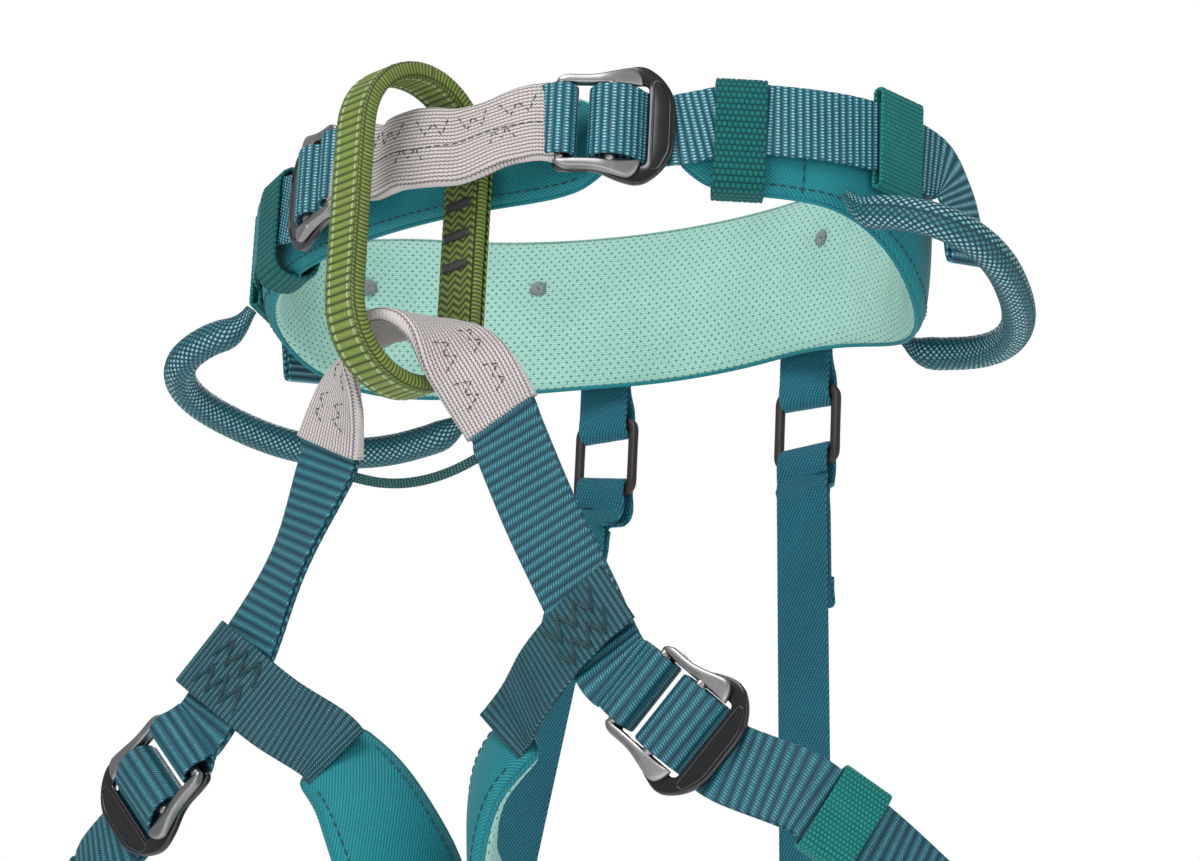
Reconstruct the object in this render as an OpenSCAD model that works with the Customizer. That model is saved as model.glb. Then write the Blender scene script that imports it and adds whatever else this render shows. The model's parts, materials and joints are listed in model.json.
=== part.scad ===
// Adjustable climbing harness: padded waist belt, belay loop and two padded leg loops.
// +X is the wearer's left, -Y the front and +Z up. The origin is the centre of the waist opening,
// halfway up the waist webbing. Millimetres throughout.

/* [Waist belt] */
// Half width of the waist strap line, side to side
waist_a = 130; // [115:1:160]
// Half depth of the waist strap line, front to back
waist_b = 84; // [74:1:105]
// Width of the load-bearing webbing
webbing_w = 25; // [20:1:30]
// Thickness of one ply of webbing
webbing_t = 1.8; // [1.4:0.1:2.2]
// Thickness of the foam in the pads
foam_t = 5.2; // [4:0.2:6]
// Lower edge of the waist pad at the front
pad_front_low = -22.5; // [-30:0.5:-20]
// Upper edge of the waist pad at the front
pad_front_high = 15; // [14:0.5:24]
// Extra depth of the lower edge over the left hip
hip_drop = 22; // [0:1:24]
// Extra depth of the lower edge over the right hip, where the belt rides higher
hip_drop_right = 9; // [0:1:24]
// Extra height of the upper edge over the back
back_rise = 16; // [0:0.5:20]

/* [Buckles] */
// Length of a buckle along the webbing
buckle_len = 40; // [38:1:44]
// Height of the buckle at its wide end
buckle_wide = 43; // [40:1:50]
// Height of the buckle at its narrow end
buckle_narrow = 33.5; // [33:0.5:36]
// Thickness of the base plate
plate_t = 2.4; // [2:0.1:3]
// Angle of the waist buckles away from straight across
waist_buckle_turn = 28; // [24:1:32]
// Slope of the leg buckles down and outward
leg_buckle_slope = 41; // [34:1:46]

/* [Tie-in and belay loop] */
// Forward reach of the upper tie-in point from the origin
tie_in_reach = 111.5; // [106:0.5:116]
// Height of the belay loop, outside
belay_h = 114.5; // [104:0.5:118]
// Depth of the belay loop, outside
belay_d = 56; // [54:0.5:60]
// Width of the belay loop webbing
belay_w = 16; // [14:1:19]
// Thickness of the stitched belay loop
belay_t = 6.5; // [5:0.5:7]
// Turn of the belay loop about the vertical
belay_turn = 15; // [0:1:20]

/* [Gear loops] */
// Outside diameter of the braided gear loop
gear_d = 11.5; // [9:0.5:13]
// Reach of a gear loop out from its two ends
gear_reach = 45; // [40:1:60]

/* [Leg loops] */
// Half width of a leg loop
leg_a = 76; // [66:1:80]
// Half depth of a leg loop
leg_b = 80; // [70:1:90]
// Height of the leg pad at the back of the thigh
leg_pad_h = 56; // [40:1:64]
// Drop from the front of a leg loop to its back
leg_drop = 85; // [60:1:95]
// Width of the elastic risers
riser_w = 20; // [16:1:24]

/* [Hidden] */

$fn = 32;
gap = 0.5;              // clearance between neighbouring pieces
steps = 5;              // points laid between two points of a guide line

// Layers of a padded strap, as distances out from the line of its free tail
cover_t = 1.4;          // thickness of shell and lining fabric
shell_out = -webbing_t/2 - gap;
shell_in = shell_out - cover_t;
load_out = shell_in - gap;
load_in = load_out - webbing_t;
foam_out = load_in - gap;
foam_in = foam_out - foam_t;
lining_out = foam_in - gap;
lining_in = lining_out - cover_t;
load_mid = (load_out + load_in)/2;

// Ends of the waist pad as angles round the belt; the right arm runs on behind the tie-in
pad_start = -55;
pad_end = 295;
tip_round = 14;         // degrees over which a pad tip rounds off
hip_angle = 22;         // angle round the belt at which the lower edge hangs lowest
hip_reach = 52;         // degrees to each side over which it comes back up
strap_z = 1.5;          // height of the strap line on the belt
buckle_z = -3.5;        // height of the strap line at the buckles

// Buckle details, measured from the narrow end and from the underside of the base plate
narrow_bar = 4.6;       // depth of the base plate's narrow bar
window_end = 31;        // far edge of the webbing window
window_w = 28.8;        // width of the webbing window
bar_r = 1.8;            // radius of the frame's narrow bar
far_bar_r = 1.9;        // radius of the frame's far bar
far_bar_u = 19;         // distance of the far bar from the narrow end
bar_u = 2.5;            // distance of the frame's narrow bar from the narrow end
frame_low = plate_t + 0.5;
frame_t = 3;
bar_n = frame_low + frame_t/2;
arm_start = 0.8;
arm_in = webbing_w/2 + 0.9;
arm_w = 3.6;
tail_n = -webbing_t/2 - gap;
load_n = tail_n - webbing_t - gap;
turn_r = far_bar_r + 0.3 + webbing_t/2;
fold_in = [narrow_bar + 2*gap, bar_n + bar_r + 2*gap];   // inside size of the fold round both bars
fold_t = 2;
fold_mid = [narrow_bar/2, (bar_n + bar_r)/2];
fold_u = fold_mid.x - fold_in.x/2 - fold_t + 0.5;        // where the strap joins the fold

waist_buckle_o = [41, -89.3, buckle_z];
leg_buckle_o = [85.5, -92.5, -201];
leg_buckle_turn = 5;
waist_buckle_face = [sin(waist_buckle_turn), -cos(waist_buckle_turn), 0];
leg_buckle_face = [sin(leg_buckle_turn), -cos(leg_buckle_turn), 0];

// Keepers, as angles round the belt
front_keeper_at = [-48.2, -39.4];
rear_keeper_at = [-16, -3];
leg_keeper_at = [-50, -38];
keeper_t = 1.3;
keeper_gap = 0.8;

// Tie-in
tie_in_z = -12.8;
tie_in_t = 2*webbing_t + 0.4;
sleeve_t = 1.3;
tie_in_bend = 6;        // sharpness of the bulge at the tie-in point
tie_in_slope = 0.58;
tie_in_sleeve_reach = 36.5;

// Belay loop
belay_c = [2, -113, -42.1];
belay_end_r = (belay_d - belay_t)/2;
belay_straight = (belay_h - belay_t)/2 - belay_end_r;

// Gear loop ends, outside the lower edge of the pad
gear_front = [128, -33, -28];
gear_rear = [101, 63, -40];
gear_out = [0.97, -0.05, -0.22];
gear_core_d = gear_d - 4;

// Leg loop
leg_c = [88, -11];
leg_round = 2.5;        // how square the leg loop is; 2 is an ellipse
leg_top = -203;         // height of the leg loop at its highest point
leg_top_angle = -110;
leg_hinge = [0, -97.5, -110];

// Risers
riser_x = 42;
riser_y = 80;
riser_t = 1.8;
riser_top_h = 19;       // height of the short strap above the middle of the hook
riser_low = [71, -236]; // y and z of the lower end
hook_z = -52;
hook_h = 26;
hook_t = 3;
hook_gap = 1;           // room for the hook to swing behind the strap

// ---- shared functions ----

function unit(v) = v/norm(v);
function mix(a, b, f) = a*(1 - f) + b*f;
function clamp01(x) = max(0, min(1, x));
function ease(x) = let (c = clamp01(x)) c*c*(3 - 2*c);
function spow(x, p) = sign(x)*pow(abs(x), p);
function flip_x(p) = [-p.x, p.y, p.z];
function reverse(p) = [for (i = [len(p) - 1:-1:0]) p[i]];
function span(a, b, n) = [for (i = [0:n]) mix(a, b, i/n)];

// A smooth line through guide points
function spline(p) = [
    for (i = [0:len(p) - 2]) for (k = [0:steps - 1])
        let (a = p[max(i - 1, 0)], b = p[i], c = p[i + 1], d = p[min(i + 2, len(p) - 1)], f = k/steps)
            0.5*(2*b + (c - a)*f + (2*a - 5*b + 4*c - d)*f*f + (3*b - a - 3*c + d)*f*f*f),
    p[len(p) - 1]
];
function along(p, i) = unit(p[min(i + 1, len(p) - 1)] - p[max(i - 1, 0)]);

// Waist line: an ellipse, with a point at an angle, a distance outside it and a height
function belt_out(t) = unit([cos(t)/waist_a, sin(t)/waist_b, 0]);
function belt(t, off, z) = [waist_a*cos(t), waist_b*sin(t), z] + off*belt_out(t);
// Angle away from the front centre, the same on both sides
function fold_angle(t) = let (w = t > 90 ? 180 - t : t) w;
function pad_tip(t) = let (d = min(t - pad_start, pad_end - t)/tip_round)
    d >= 1 ? 1 : mix(0.35, 1, sqrt(max(0, 1 - (1 - d)*(1 - d))));
function pad_low_full(t) = let (w = fold_angle(t), drop = t > 90 ? hip_drop_right : hip_drop)
    pad_front_low - 6*ease((w + 10)/100) - drop*pow(cos(90*min(1, abs(w - hip_angle)/hip_reach)), 2);
function pad_high_full(t) = pad_front_high + back_rise*ease((fold_angle(t) + 15)/55);
function pad_mid(t) = (pad_low_full(t) + pad_high_full(t))/2;
function pad_low(t, trim) = mix(pad_mid(t), pad_low_full(t), pad_tip(t)) + trim;
function pad_high(t, trim) = mix(pad_mid(t), pad_high_full(t), pad_tip(t)) - trim;

// Leg loop: a squared ellipse that drops towards the back
function leg_xy(t) = leg_c + [leg_a*spow(cos(t), 2/leg_round), leg_b*spow(sin(t), 2/leg_round)];
function leg_out(t) = let (d = leg_xy(t + 1) - leg_xy(t - 1)) unit([d.y, -d.x, 0]);
function leg_z(t) = leg_top - leg_drop*pow(abs(sin((t - leg_top_angle)/2)), 1.2);
function leg(t, off, dz) = [leg_xy(t).x, leg_xy(t).y, leg_z(t) + dz] + off*leg_out(t);

// Middle line of the leg pad, from the junction down the inside of the thigh and round the back,
// and its width there as a share of the full width
leg_pad_guide = [[37, -88, -204], [20, -86, -220], [10, -75, -243], [8, -55, -264], [9, -20, -277],
                 [20, 30, -284], [50, 62, -288], [92, 69, -288], [134, 58, -285],
                 leg(22, 0, 0), leg(4, 0, 0)];
leg_pad_share = [0.48, 0.6, 0.76, 0.9, 1, 1, 1, 1, 0.96, 0.8, 0.54];

// A point given along a buckle, across it and out from it
function in_buckle(o, turn, slope, p) =
    let (u = [cos(turn)*cos(slope), sin(turn)*cos(slope), -sin(slope)],
         n = [sin(turn), -cos(turn), 0], v = cross(n, u))
    o + p.x*u + p.y*v + p.z*n;
function waist_at(u, n) = in_buckle(waist_buckle_o, waist_buckle_turn, 0, [u, 0, n]);
function leg_at(u, n) = in_buckle(leg_buckle_o, leg_buckle_turn, leg_buckle_slope, [u, 0, n]);

// ---- shared shapes ----

// A solid through rings of points; closed joins the last ring to the first
module loft(rings, closed = false) {
    m = len(rings[0]);
    n = len(rings);
    last = closed ? n - 1 : n - 2;
    sides = [for (i = [0:last]) for (j = [0:m - 1])
        let (a = i*m + j, b = i*m + (j + 1)%m, c = ((i + 1)%n)*m + (j + 1)%m, d = ((i + 1)%n)*m + j)
            each [[a, c, b], [a, d, c]]];
    caps = closed ? [] : concat([for (j = [1:m - 2]) [0, j, j + 1]],
                                [for (j = [1:m - 2]) [(n - 1)*m, (n - 1)*m + j + 1, (n - 1)*m + j]]);
    polyhedron([for (r = rings) each r], concat(sides, caps));
}

// A flat strap along a line of points, with its outer face towards the given directions
function strap_ring(p, out, i, w, t) =
    let (d = along(p, i), across = unit(cross(out[i], d)), face = cross(d, across))
    [for (c = [[1, 1], [-1, 1], [-1, -1], [1, -1]]) p[i] + across*c[0]*w/2 + face*c[1]*t/2];

module strap(p, out, w, t, closed = false) {
    loft([for (i = [0:len(p) - 1]) strap_ring(p, out, i, w, t)], closed);
}

// A layer of a padded belt between two distances out, given as rings of low and high points
module layer(lows_in, lows_out, highs_out, highs_in) {
    loft([for (i = [0:len(lows_in) - 1]) [highs_in[i], highs_out[i], lows_out[i], lows_in[i]]]);
}

module waist_layer(from, to, off_in, off_out, trim, n) {
    ts = span(from, to, n);
    layer([for (t = ts) belt(t, off_in, pad_low(t, trim))], [for (t = ts) belt(t, off_out, pad_low(t, trim))],
          [for (t = ts) belt(t, off_out, pad_high(t, trim))], [for (t = ts) belt(t, off_in, pad_high(t, trim))]);
}

module belt_block(from, to, off_in, off_out, low, high, n = 4) {
    ts = span(from, to, n);
    layer([for (t = ts) belt(t, off_in, low)], [for (t = ts) belt(t, off_out, low)],
          [for (t = ts) belt(t, off_out, high)], [for (t = ts) belt(t, off_in, high)]);
}

module leg_layer(off_in, off_out, trim) {
    p = spline(leg_pad_guide);
    share = spline(leg_pad_share);
    loft([for (i = [0:len(p) - 1])
        let (d = along(p, i), across = unit(cross(leg_face(p[i]), d)), face = cross(d, across),
             half = share[i]*leg_pad_h/2 - trim)
        [p[i] + across*half + face*off_out, p[i] - across*half + face*off_out,
         p[i] - across*half + face*off_in, p[i] + across*half + face*off_in]]);
}

// A block round the two plies of the leg straps
module keeper_block(from, to, size) {
    p = [for (t = span(from, to, 4)) leg(t, ply/2, 0)];
    strap(p, [for (q = p) leg_face(q)], size.x, size.y);
}

module on_right() {
    mirror([1, 0, 0]) children();
}

module at_waist_buckle() {
    translate(waist_buckle_o) rotate([0, 0, waist_buckle_turn]) rotate([90, 0, 0]) children();
}

module at_leg_buckle() {
    translate(leg_buckle_o) rotate([0, 0, leg_buckle_turn]) rotate([90, 0, 0])
        rotate([0, 0, -leg_buckle_slope]) children();
}

// ---- buckle ----

module plate_outline() {
    corner_r = 3;
    end_r = 10;
    hull() {
        for (s = [-1, 1]) {
            translate([corner_r, s*(buckle_narrow/2 - corner_r)]) circle(corner_r);
            translate([buckle_len - end_r, s*(buckle_wide/2 - end_r)]) circle(end_r);
        }
    }
}

module buckle_base() {
    color("#1c1d20") linear_extrude(plate_t) difference() {
        plate_outline();
        translate([narrow_bar, -window_w/2]) square([window_end - narrow_bar, window_w]);
    }
}

module buckle_frame() {
    arm_len = far_bar_u + 4;
    color("#8d8f92") {
        for (s = [-1, 1])
            translate([0, s*(arm_in + arm_w/2), frame_low]) linear_extrude(frame_t)
                hull() {
                    translate([arm_start + arm_w/2, 0]) circle(arm_w/2);
                    translate([arm_len - arm_w/2, 0]) circle(arm_w/2);
                }
        for (bar = [[bar_u, bar_n, bar_r], [far_bar_u, bar_n, far_bar_r]])
            translate([bar[0], arm_in + arm_w/2, bar[1]]) rotate([90, 0, 0])
                cylinder(h = 2*arm_in + arm_w, r = bar[2]);
    }
}

// Webbing turned over the far bar, from one side of the base plate's window to the other
module webbing_turn() {
    foot = plate_t + 0.6;
    color("#0d5560") translate([far_bar_u, webbing_w/2, bar_n]) rotate([90, 0, 0])
        linear_extrude(webbing_w) {
            difference() {
                circle(turn_r + webbing_t/2);
                circle(turn_r - webbing_t/2);
                translate([-turn_r*2, -turn_r*2]) square([turn_r*4, turn_r*2]);
            }
            for (s = [-1, 1])
                translate([s*turn_r - webbing_t/2, foot - bar_n]) square([webbing_t, bar_n - foot]);
        }
}

// Webbing folded round both narrow bars and sewn to itself
module webbing_fold() {
    color("#0d5560") translate([fold_mid.x, webbing_w/2, fold_mid.y]) rotate([90, 0, 0])
        linear_extrude(webbing_w) difference() {
            square([fold_in.x + 2*fold_t, fold_in.y + 2*fold_t], center = true);
            square(fold_in, center = true);
        }
}

// ---- waist belt ----

module waist_foam() {
    color("#3a3d3f") waist_layer(pad_start + 1.5, pad_end - 1.5, foam_in, foam_out, 2, 72);
}

module waist_shell() {
    color("#128087") waist_layer(pad_start, pad_end, shell_in, shell_out, 0, 72);
}

module waist_lining() {
    color("#8fdcc0") waist_layer(pad_start, pad_end, lining_in, lining_out, 0, 72);
}

// Load webbing between foam and shell, coming out of both arms towards the buckles
module waist_webbing() {
    inside = [for (t = span(-48, 228, 46)) belt(t, load_mid, strap_z)];
    left_end = spline([waist_at(27, load_n), waist_at(33, load_n - 0.6), inside[0]]);
    p = concat(left_end, [for (i = [1:len(inside) - 2]) inside[i]], reverse([for (q = left_end) flip_x(q)]));
    out = [for (q = p) unit([q.x/pow(waist_a, 2), q.y/pow(waist_b, 2), 0])];
    color("#0d5560") strap(p, out, webbing_w, webbing_t);
}

// Free tail: out of the buckle, back along the belt through both keepers, hanging at its end
tail_guide = concat(
    [waist_at(25, tail_n), waist_at(33, tail_n), waist_at(41, tail_n)],
    [for (t = [-44:6:2]) belt(t, 0, mix(strap_z, 3, ease((t + 44)/34)))],
    [[133, 10, 1], [135, 16, -6], [136, 20, -15], [136.5, 23, -25]]);
tail_facing = concat(
    [for (i = [0:2]) waist_buckle_face],
    [for (t = [-44:6:2]) belt_out(t)],
    [for (i = [1:4]) [1, 0, 0]]);

module waist_tail() {
    color("#0f5f6a") strap(spline(tail_guide), spline(tail_facing), webbing_w, webbing_t);
}

module front_keeper() {
    low = pad_front_low - keeper_gap;
    high = pad_front_high + keeper_gap;
    inner = lining_in - keeper_gap;
    outer = webbing_t/2 + keeper_gap;
    color("#117a70") difference() {
        belt_block(front_keeper_at[0], front_keeper_at[1], inner - keeper_t, outer + keeper_t,
                   low - keeper_t, high + keeper_t);
        belt_block(front_keeper_at[0] - 1, front_keeper_at[1] + 1, inner, outer, low, high);
    }
}

module rear_keeper() {
    low = -14;
    high = 18.5;
    foot = 2;
    outer = webbing_t/2 + gap;
    a = rear_keeper_at[0];
    b = rear_keeper_at[1];
    color("#117a70") {
        belt_block(a, b, outer, outer + keeper_t, low - foot, high + foot);
        belt_block(a, b, shell_out + 0.1, outer + keeper_t, low - foot, low);
        belt_block(a, b, shell_out + 0.1, outer + keeper_t, high, high + foot);
    }
}

// ---- tie-in and belay loop ----

function tie_in_y(x) = -tie_in_reach + sqrt(pow(tie_in_bend, 2) + pow(tie_in_slope*x, 2)) - tie_in_bend;
tie_in_end = waist_at(fold_u, fold_mid.y);
function tie_in_line(x) = let (f = abs(x)/tie_in_end.x)
    [x, tie_in_y(x) + (tie_in_end.y - tie_in_y(tie_in_end.x))*f*f, mix(tie_in_z, buckle_z, ease(1.4*f - 0.4))];

module tie_in_band(reach, w, t) {
    p = [for (x = span(-reach, reach, 24)) tie_in_line(x)];
    strap(p, [for (q = p) [0, -1, 0]], w, t);
}

module tie_in_webbing() {
    color("#0d5560") {
        tie_in_band(tie_in_end.x, webbing_w, tie_in_t);
        at_waist_buckle() webbing_fold();
        on_right() at_waist_buckle() webbing_fold();
    }
}

module tie_in_sleeve() {
    color("#b9b5b1") difference() {
        tie_in_band(tie_in_sleeve_reach, webbing_w + 2*(gap + sleeve_t), tie_in_t + 2*(gap + sleeve_t));
        tie_in_band(tie_in_sleeve_reach + 1, webbing_w + 2*gap, tie_in_t + 2*gap);
    }
}

module belay_loop() {
    color("#6f8f2c") translate(belay_c) rotate([0, 0, -90 - belay_turn]) rotate([90, 0, 0])
        translate([0, 0, -belay_w/2]) linear_extrude(belay_w) difference() {
            belay_outline(belay_end_r + belay_t/2);
            belay_outline(belay_end_r - belay_t/2);
        }
}

module belay_outline(r) {
    translate([0, belay_straight]) circle(r, $fn = 64);
    translate([0, -belay_straight]) circle(r, $fn = 64);
    square([2*r, 2*belay_straight], center = true);
}

// Lower tie-in: an arch in the bottom of the belay loop, falling to both leg straps
arch_half = [[0, -112.5, -74.5], [12.5, -111, -78], [24.5, -106, -91], [34, -98.5, -108.5]];
arch_half_face = [[0.1, -0.1, 1], [0.2, -0.4, 0.9], [0.15, -0.9, 0.35], [0, -1, 0]];

function both_sides(p) = concat([for (i = [len(p) - 1:-1:1]) flip_x(p[i])], p);

module arch(w, t, extra = 0) {
    p = spline(both_sides(arch_half));
    out = spline(both_sides(arch_half_face));
    last = len(p) - 1;
    longer = concat([p[0] - along(p, 0)*extra], p, [p[last] + along(p, last)*extra]);
    strap(longer, concat([out[0]], out, [out[last]]), w, t);
}

module lower_tie_in_webbing() {
    color("#0d5560") arch(webbing_w, tie_in_t, 0.1);
}

module lower_tie_in_sleeve() {
    wide = webbing_w + 0.6;
    thick = tie_in_t + 0.6;
    color("#b9b5b1") difference() {
        arch(wide + 2*sleeve_t, thick + 2*sleeve_t, 0.1);
        arch(wide, thick, 1);
    }
}

module leg_bridge_elastic() {
    sag = 4;
    reach = 21.5;
    end_z = leg_hinge.z - 9.5;
    elastic_w = 3.2;
    elastic_t = 1.6;
    p = [for (x = span(-reach, reach, 14)) [x, leg_hinge.y + gap, end_z - sag*(1 - pow(x/reach, 2))]];
    color("#0e4f49") strap(p, [for (q = p) [0, -1, 0]], elastic_w, elastic_t);
}

// ---- gear loops ----

module gear_tube(d) {
    mid = (gear_front + gear_rear)/2;
    half = (gear_front - gear_rear)/2;
    p = [for (a = span(0, 180, 22)) mid + half*spow(cos(a), 0.85) + gear_out*gear_reach*pow(sin(a), 0.75)];
    sides = 14;
    loft([for (i = [0:len(p) - 1]) let (d1 = along(p, i), side = unit(cross(d1, [0, 0.2, 1])), up = cross(d1, side))
        [for (k = [0:sides - 1]) p[i] + side*cos(360*k/sides)*d/2 + up*sin(360*k/sides)*d/2]]);
}

module gear_loop_sheath() {
    color("#0f6a74") difference() {
        gear_tube(gear_d);
        gear_tube(gear_core_d + 1);
    }
}

module gear_loop_core() {
    color("#2b2d2e") gear_tube(gear_core_d);
}

// ---- leg loops ----

module leg_strap() {
    p = spline([leg_hinge + [34.8, 0, -2.6], [47.5, -96, -140], [63, -94.8, -169],
                leg_at(fold_u - 10, fold_mid.y), leg_at(fold_u, fold_mid.y)]);
    color("#0d5560") {
        strap(p, [for (q = p) leg_buckle_face], webbing_w, tie_in_t);
        at_leg_buckle() webbing_fold();
    }
}

// Webbing from the front of the leg pad, laid over the leg strap and sewn down
module leg_junction() {
    p = spline([mix(leg_pad_guide[0], leg_pad_guide[1], 0.35), leg_pad_guide[0], [50, -96.5, -195],
                [65, -100, -183], [80, -99.6, -171.5]]);
    color("#0b4c55") strap(p, [for (i = [0:len(p) - 1]) [-0.2, -1, 0]], webbing_w, webbing_t);
}

module leg_foam() {
    color("#3a3d3f") leg_layer(foam_in, foam_out, 2);
}

module leg_shell() {
    color("#128087") leg_layer(shell_in, shell_out, 0);
}

module leg_lining() {
    color("#8fdcc0") leg_layer(lining_in, lining_out, 0);
}

leg_band = [-57:8:-25];
ply = load_n - tail_n;

// Outer face of the leg straps: flat along the buckle, then round the thigh
function leg_facing(guide) = [for (i = [0:len(guide) - 1]) i < 3 ? leg_buckle_face : leg_face(guide[i])];

module leg_webbing() {
    bend = 0.7;     // extra room between the plies where they leave the buckle
    guide = concat([leg_at(25, load_n), leg_at(33, load_n), leg_at(40, load_n - bend)],
                   [for (t = leg_band) leg(t, ply - (t < -50 ? bend : 0), 0)],
                   [for (t = [-14:10:16]) leg(t, mix(ply, load_mid, ease((t + 14)/10)), 0)]);
    color("#0d5560") strap(spline(guide), spline(leg_facing(guide)), webbing_w, webbing_t);
}

module leg_tail() {
    guide = concat([for (u = [25, 33, 40]) leg_at(u, tail_n)],
                   [for (t = leg_band) leg(t, 0.4, 0)], [leg(-17, 2, -1), leg(-9, 4.5, -2)]);
    color("#0f5f6a") strap(spline(guide), spline(leg_facing(guide)), webbing_w, webbing_t);
}

// Direction straight out of the leg loop at a point near it
function leg_face(q) = unit([spow((q.x - leg_c.x)/leg_a, leg_round - 1)/leg_a,
                             spow((q.y - leg_c.y)/leg_b, leg_round - 1)/leg_b, 0]);

module leg_keeper() {
    room = [webbing_w + 2.6, webbing_t - ply + 2];
    color("#117a70") difference() {
        keeper_block(leg_keeper_at[0], leg_keeper_at[1], room + [2, 2]*keeper_t);
        keeper_block(leg_keeper_at[0] - 1, leg_keeper_at[1] + 1, room);
    }
}

// ---- risers ----

module riser_top() {
    color("#12606c") translate([riser_x - riser_w/2, riser_y - riser_t/2, hook_z])
        cube([riser_w, riser_t, riser_top_h]);
}

module riser_hook() {
    rim = 3;
    color("#26201f") translate([riser_x, riser_y + riser_t/2 + hook_gap, hook_z])
        rotate([-90, 0, 0]) linear_extrude(hook_t) difference() {
            offset(2) square([riser_w + 2, hook_h], center = true);
            for (s = [-1, 1])
                translate([0, s*(hook_h/4 - 0.3)]) square([riser_w - rim, hook_h/2 - rim], center = true);
        }
}

// The lower strap runs to the back of the leg loop, at its own place on each side
module riser_strap(low_x) {
    top = [riser_x, riser_y - 1, hook_z - 4];
    low = [low_x, riser_low[0], riser_low[1]];
    p = span(top, low, 8);
    color("#12606c") strap(p, [for (q = p) [0, 1, 0]], riser_w, riser_t);
}

// ---- drawing ----

waist_foam();
waist_shell();
waist_lining();
waist_webbing();
waist_tail();  // waist_tail_left
on_right() waist_tail();  // waist_tail_right
front_keeper();  // front_keeper_left
on_right() front_keeper();  // front_keeper_right
rear_keeper();  // rear_keeper_left
on_right() rear_keeper();  // rear_keeper_right
at_waist_buckle() buckle_base();  // waist_buckle_base_left
on_right() at_waist_buckle() buckle_base();  // waist_buckle_base_right
at_waist_buckle() buckle_frame();  // waist_buckle_frame_left
on_right() at_waist_buckle() buckle_frame();  // waist_buckle_frame_right
at_waist_buckle() webbing_turn();  // waist_webbing_turn_left
on_right() at_waist_buckle() webbing_turn();  // waist_webbing_turn_right
tie_in_webbing();
tie_in_sleeve();
belay_loop();
lower_tie_in_webbing();
lower_tie_in_sleeve();
leg_bridge_elastic();
gear_loop_sheath();  // gear_loop_sheath_left
on_right() gear_loop_sheath();  // gear_loop_sheath_right
gear_loop_core();  // gear_loop_core_left
on_right() gear_loop_core();  // gear_loop_core_right
leg_strap();  // leg_strap_left
on_right() leg_strap();  // leg_strap_right
leg_junction();  // leg_junction_left
on_right() leg_junction();  // leg_junction_right
leg_foam();  // leg_foam_left
on_right() leg_foam();  // leg_foam_right
leg_shell();  // leg_shell_left
on_right() leg_shell();  // leg_shell_right
leg_lining();  // leg_lining_left
on_right() leg_lining();  // leg_lining_right
leg_webbing();  // leg_webbing_left
on_right() leg_webbing();  // leg_webbing_right
leg_tail();  // leg_tail_left
on_right() leg_tail();  // leg_tail_right
leg_keeper();  // leg_keeper_left
on_right() leg_keeper();  // leg_keeper_right
at_leg_buckle() buckle_base();  // leg_buckle_base_left
on_right() at_leg_buckle() buckle_base();  // leg_buckle_base_right
at_leg_buckle() buckle_frame();  // leg_buckle_frame_left
on_right() at_leg_buckle() buckle_frame();  // leg_buckle_frame_right
at_leg_buckle() webbing_turn();  // leg_webbing_turn_left
on_right() at_leg_buckle() webbing_turn();  // leg_webbing_turn_right
riser_top();  // riser_top_left
on_right() riser_top();  // riser_top_right
riser_hook();  // riser_hook_left
on_right() riser_hook();  // riser_hook_right
riser_strap(54);  // riser_strap_left
on_right() riser_strap(72);  // riser_strap_right
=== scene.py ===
import json
import math
from functools import partialmethod

import bmesh
import bpy
import numpy as np
from mathutils import Matrix, Vector


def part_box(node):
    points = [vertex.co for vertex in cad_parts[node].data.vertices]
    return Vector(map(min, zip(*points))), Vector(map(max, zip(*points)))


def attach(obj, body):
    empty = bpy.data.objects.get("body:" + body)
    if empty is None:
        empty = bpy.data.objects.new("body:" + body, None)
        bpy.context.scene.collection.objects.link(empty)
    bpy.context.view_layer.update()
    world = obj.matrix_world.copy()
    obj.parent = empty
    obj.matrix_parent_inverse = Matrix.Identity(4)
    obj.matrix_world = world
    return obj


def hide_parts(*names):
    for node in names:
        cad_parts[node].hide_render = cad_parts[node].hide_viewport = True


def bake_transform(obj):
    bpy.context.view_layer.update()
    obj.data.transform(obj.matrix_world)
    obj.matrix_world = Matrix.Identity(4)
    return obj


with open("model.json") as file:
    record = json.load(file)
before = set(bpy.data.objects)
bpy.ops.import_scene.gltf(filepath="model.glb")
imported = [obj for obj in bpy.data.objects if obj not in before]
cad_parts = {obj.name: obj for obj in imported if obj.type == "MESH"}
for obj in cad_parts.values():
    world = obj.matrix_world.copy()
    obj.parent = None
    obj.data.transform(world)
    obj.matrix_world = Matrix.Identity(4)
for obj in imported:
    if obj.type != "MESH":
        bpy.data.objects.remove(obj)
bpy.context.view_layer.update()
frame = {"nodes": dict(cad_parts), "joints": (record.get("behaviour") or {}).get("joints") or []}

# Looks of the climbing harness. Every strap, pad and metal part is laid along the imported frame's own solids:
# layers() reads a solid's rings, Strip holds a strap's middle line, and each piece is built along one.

MM = 0.001
SIDES = {"left": 1, "right": -1}
LEFT, FRONT, UP = np.array([1.0, 0, 0]), np.array([0, -1.0, 0]), np.array([0, 0, 1.0])
joints = {j["name"]: j for j in frame["joints"]}
rng = np.random.default_rng(7)

WEB_RIB = 2.5      # pitch of the ribs across the waist webbing, mm
LEG_RIB = 3.4      # the same on the leg straps
BELAY_RIB = 2.75   # the same on the belay loop
PLY = 1.8*MM       # thickness of one ply of webbing
WEB_W = 25*MM      # width of the webbing
KEEPER_WALL = 1.5*MM
SHEET = 1.0*MM     # thickness of the pads' shell and lining
PINCH = 0.9*MM     # how far a seam pulls a pad in
TACK_LIFT = 0.12*MM


# ---- small vector helpers ----

def unit(v):
    v = np.asarray(v, float)
    return v/np.maximum(np.linalg.norm(v, axis=-1, keepdims=True), 1e-12)


def lengths(p):
    """Length along a line of points, from its start."""
    return np.concatenate([[0], np.cumsum(np.linalg.norm(np.diff(p, axis=0), axis=1))])


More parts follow.
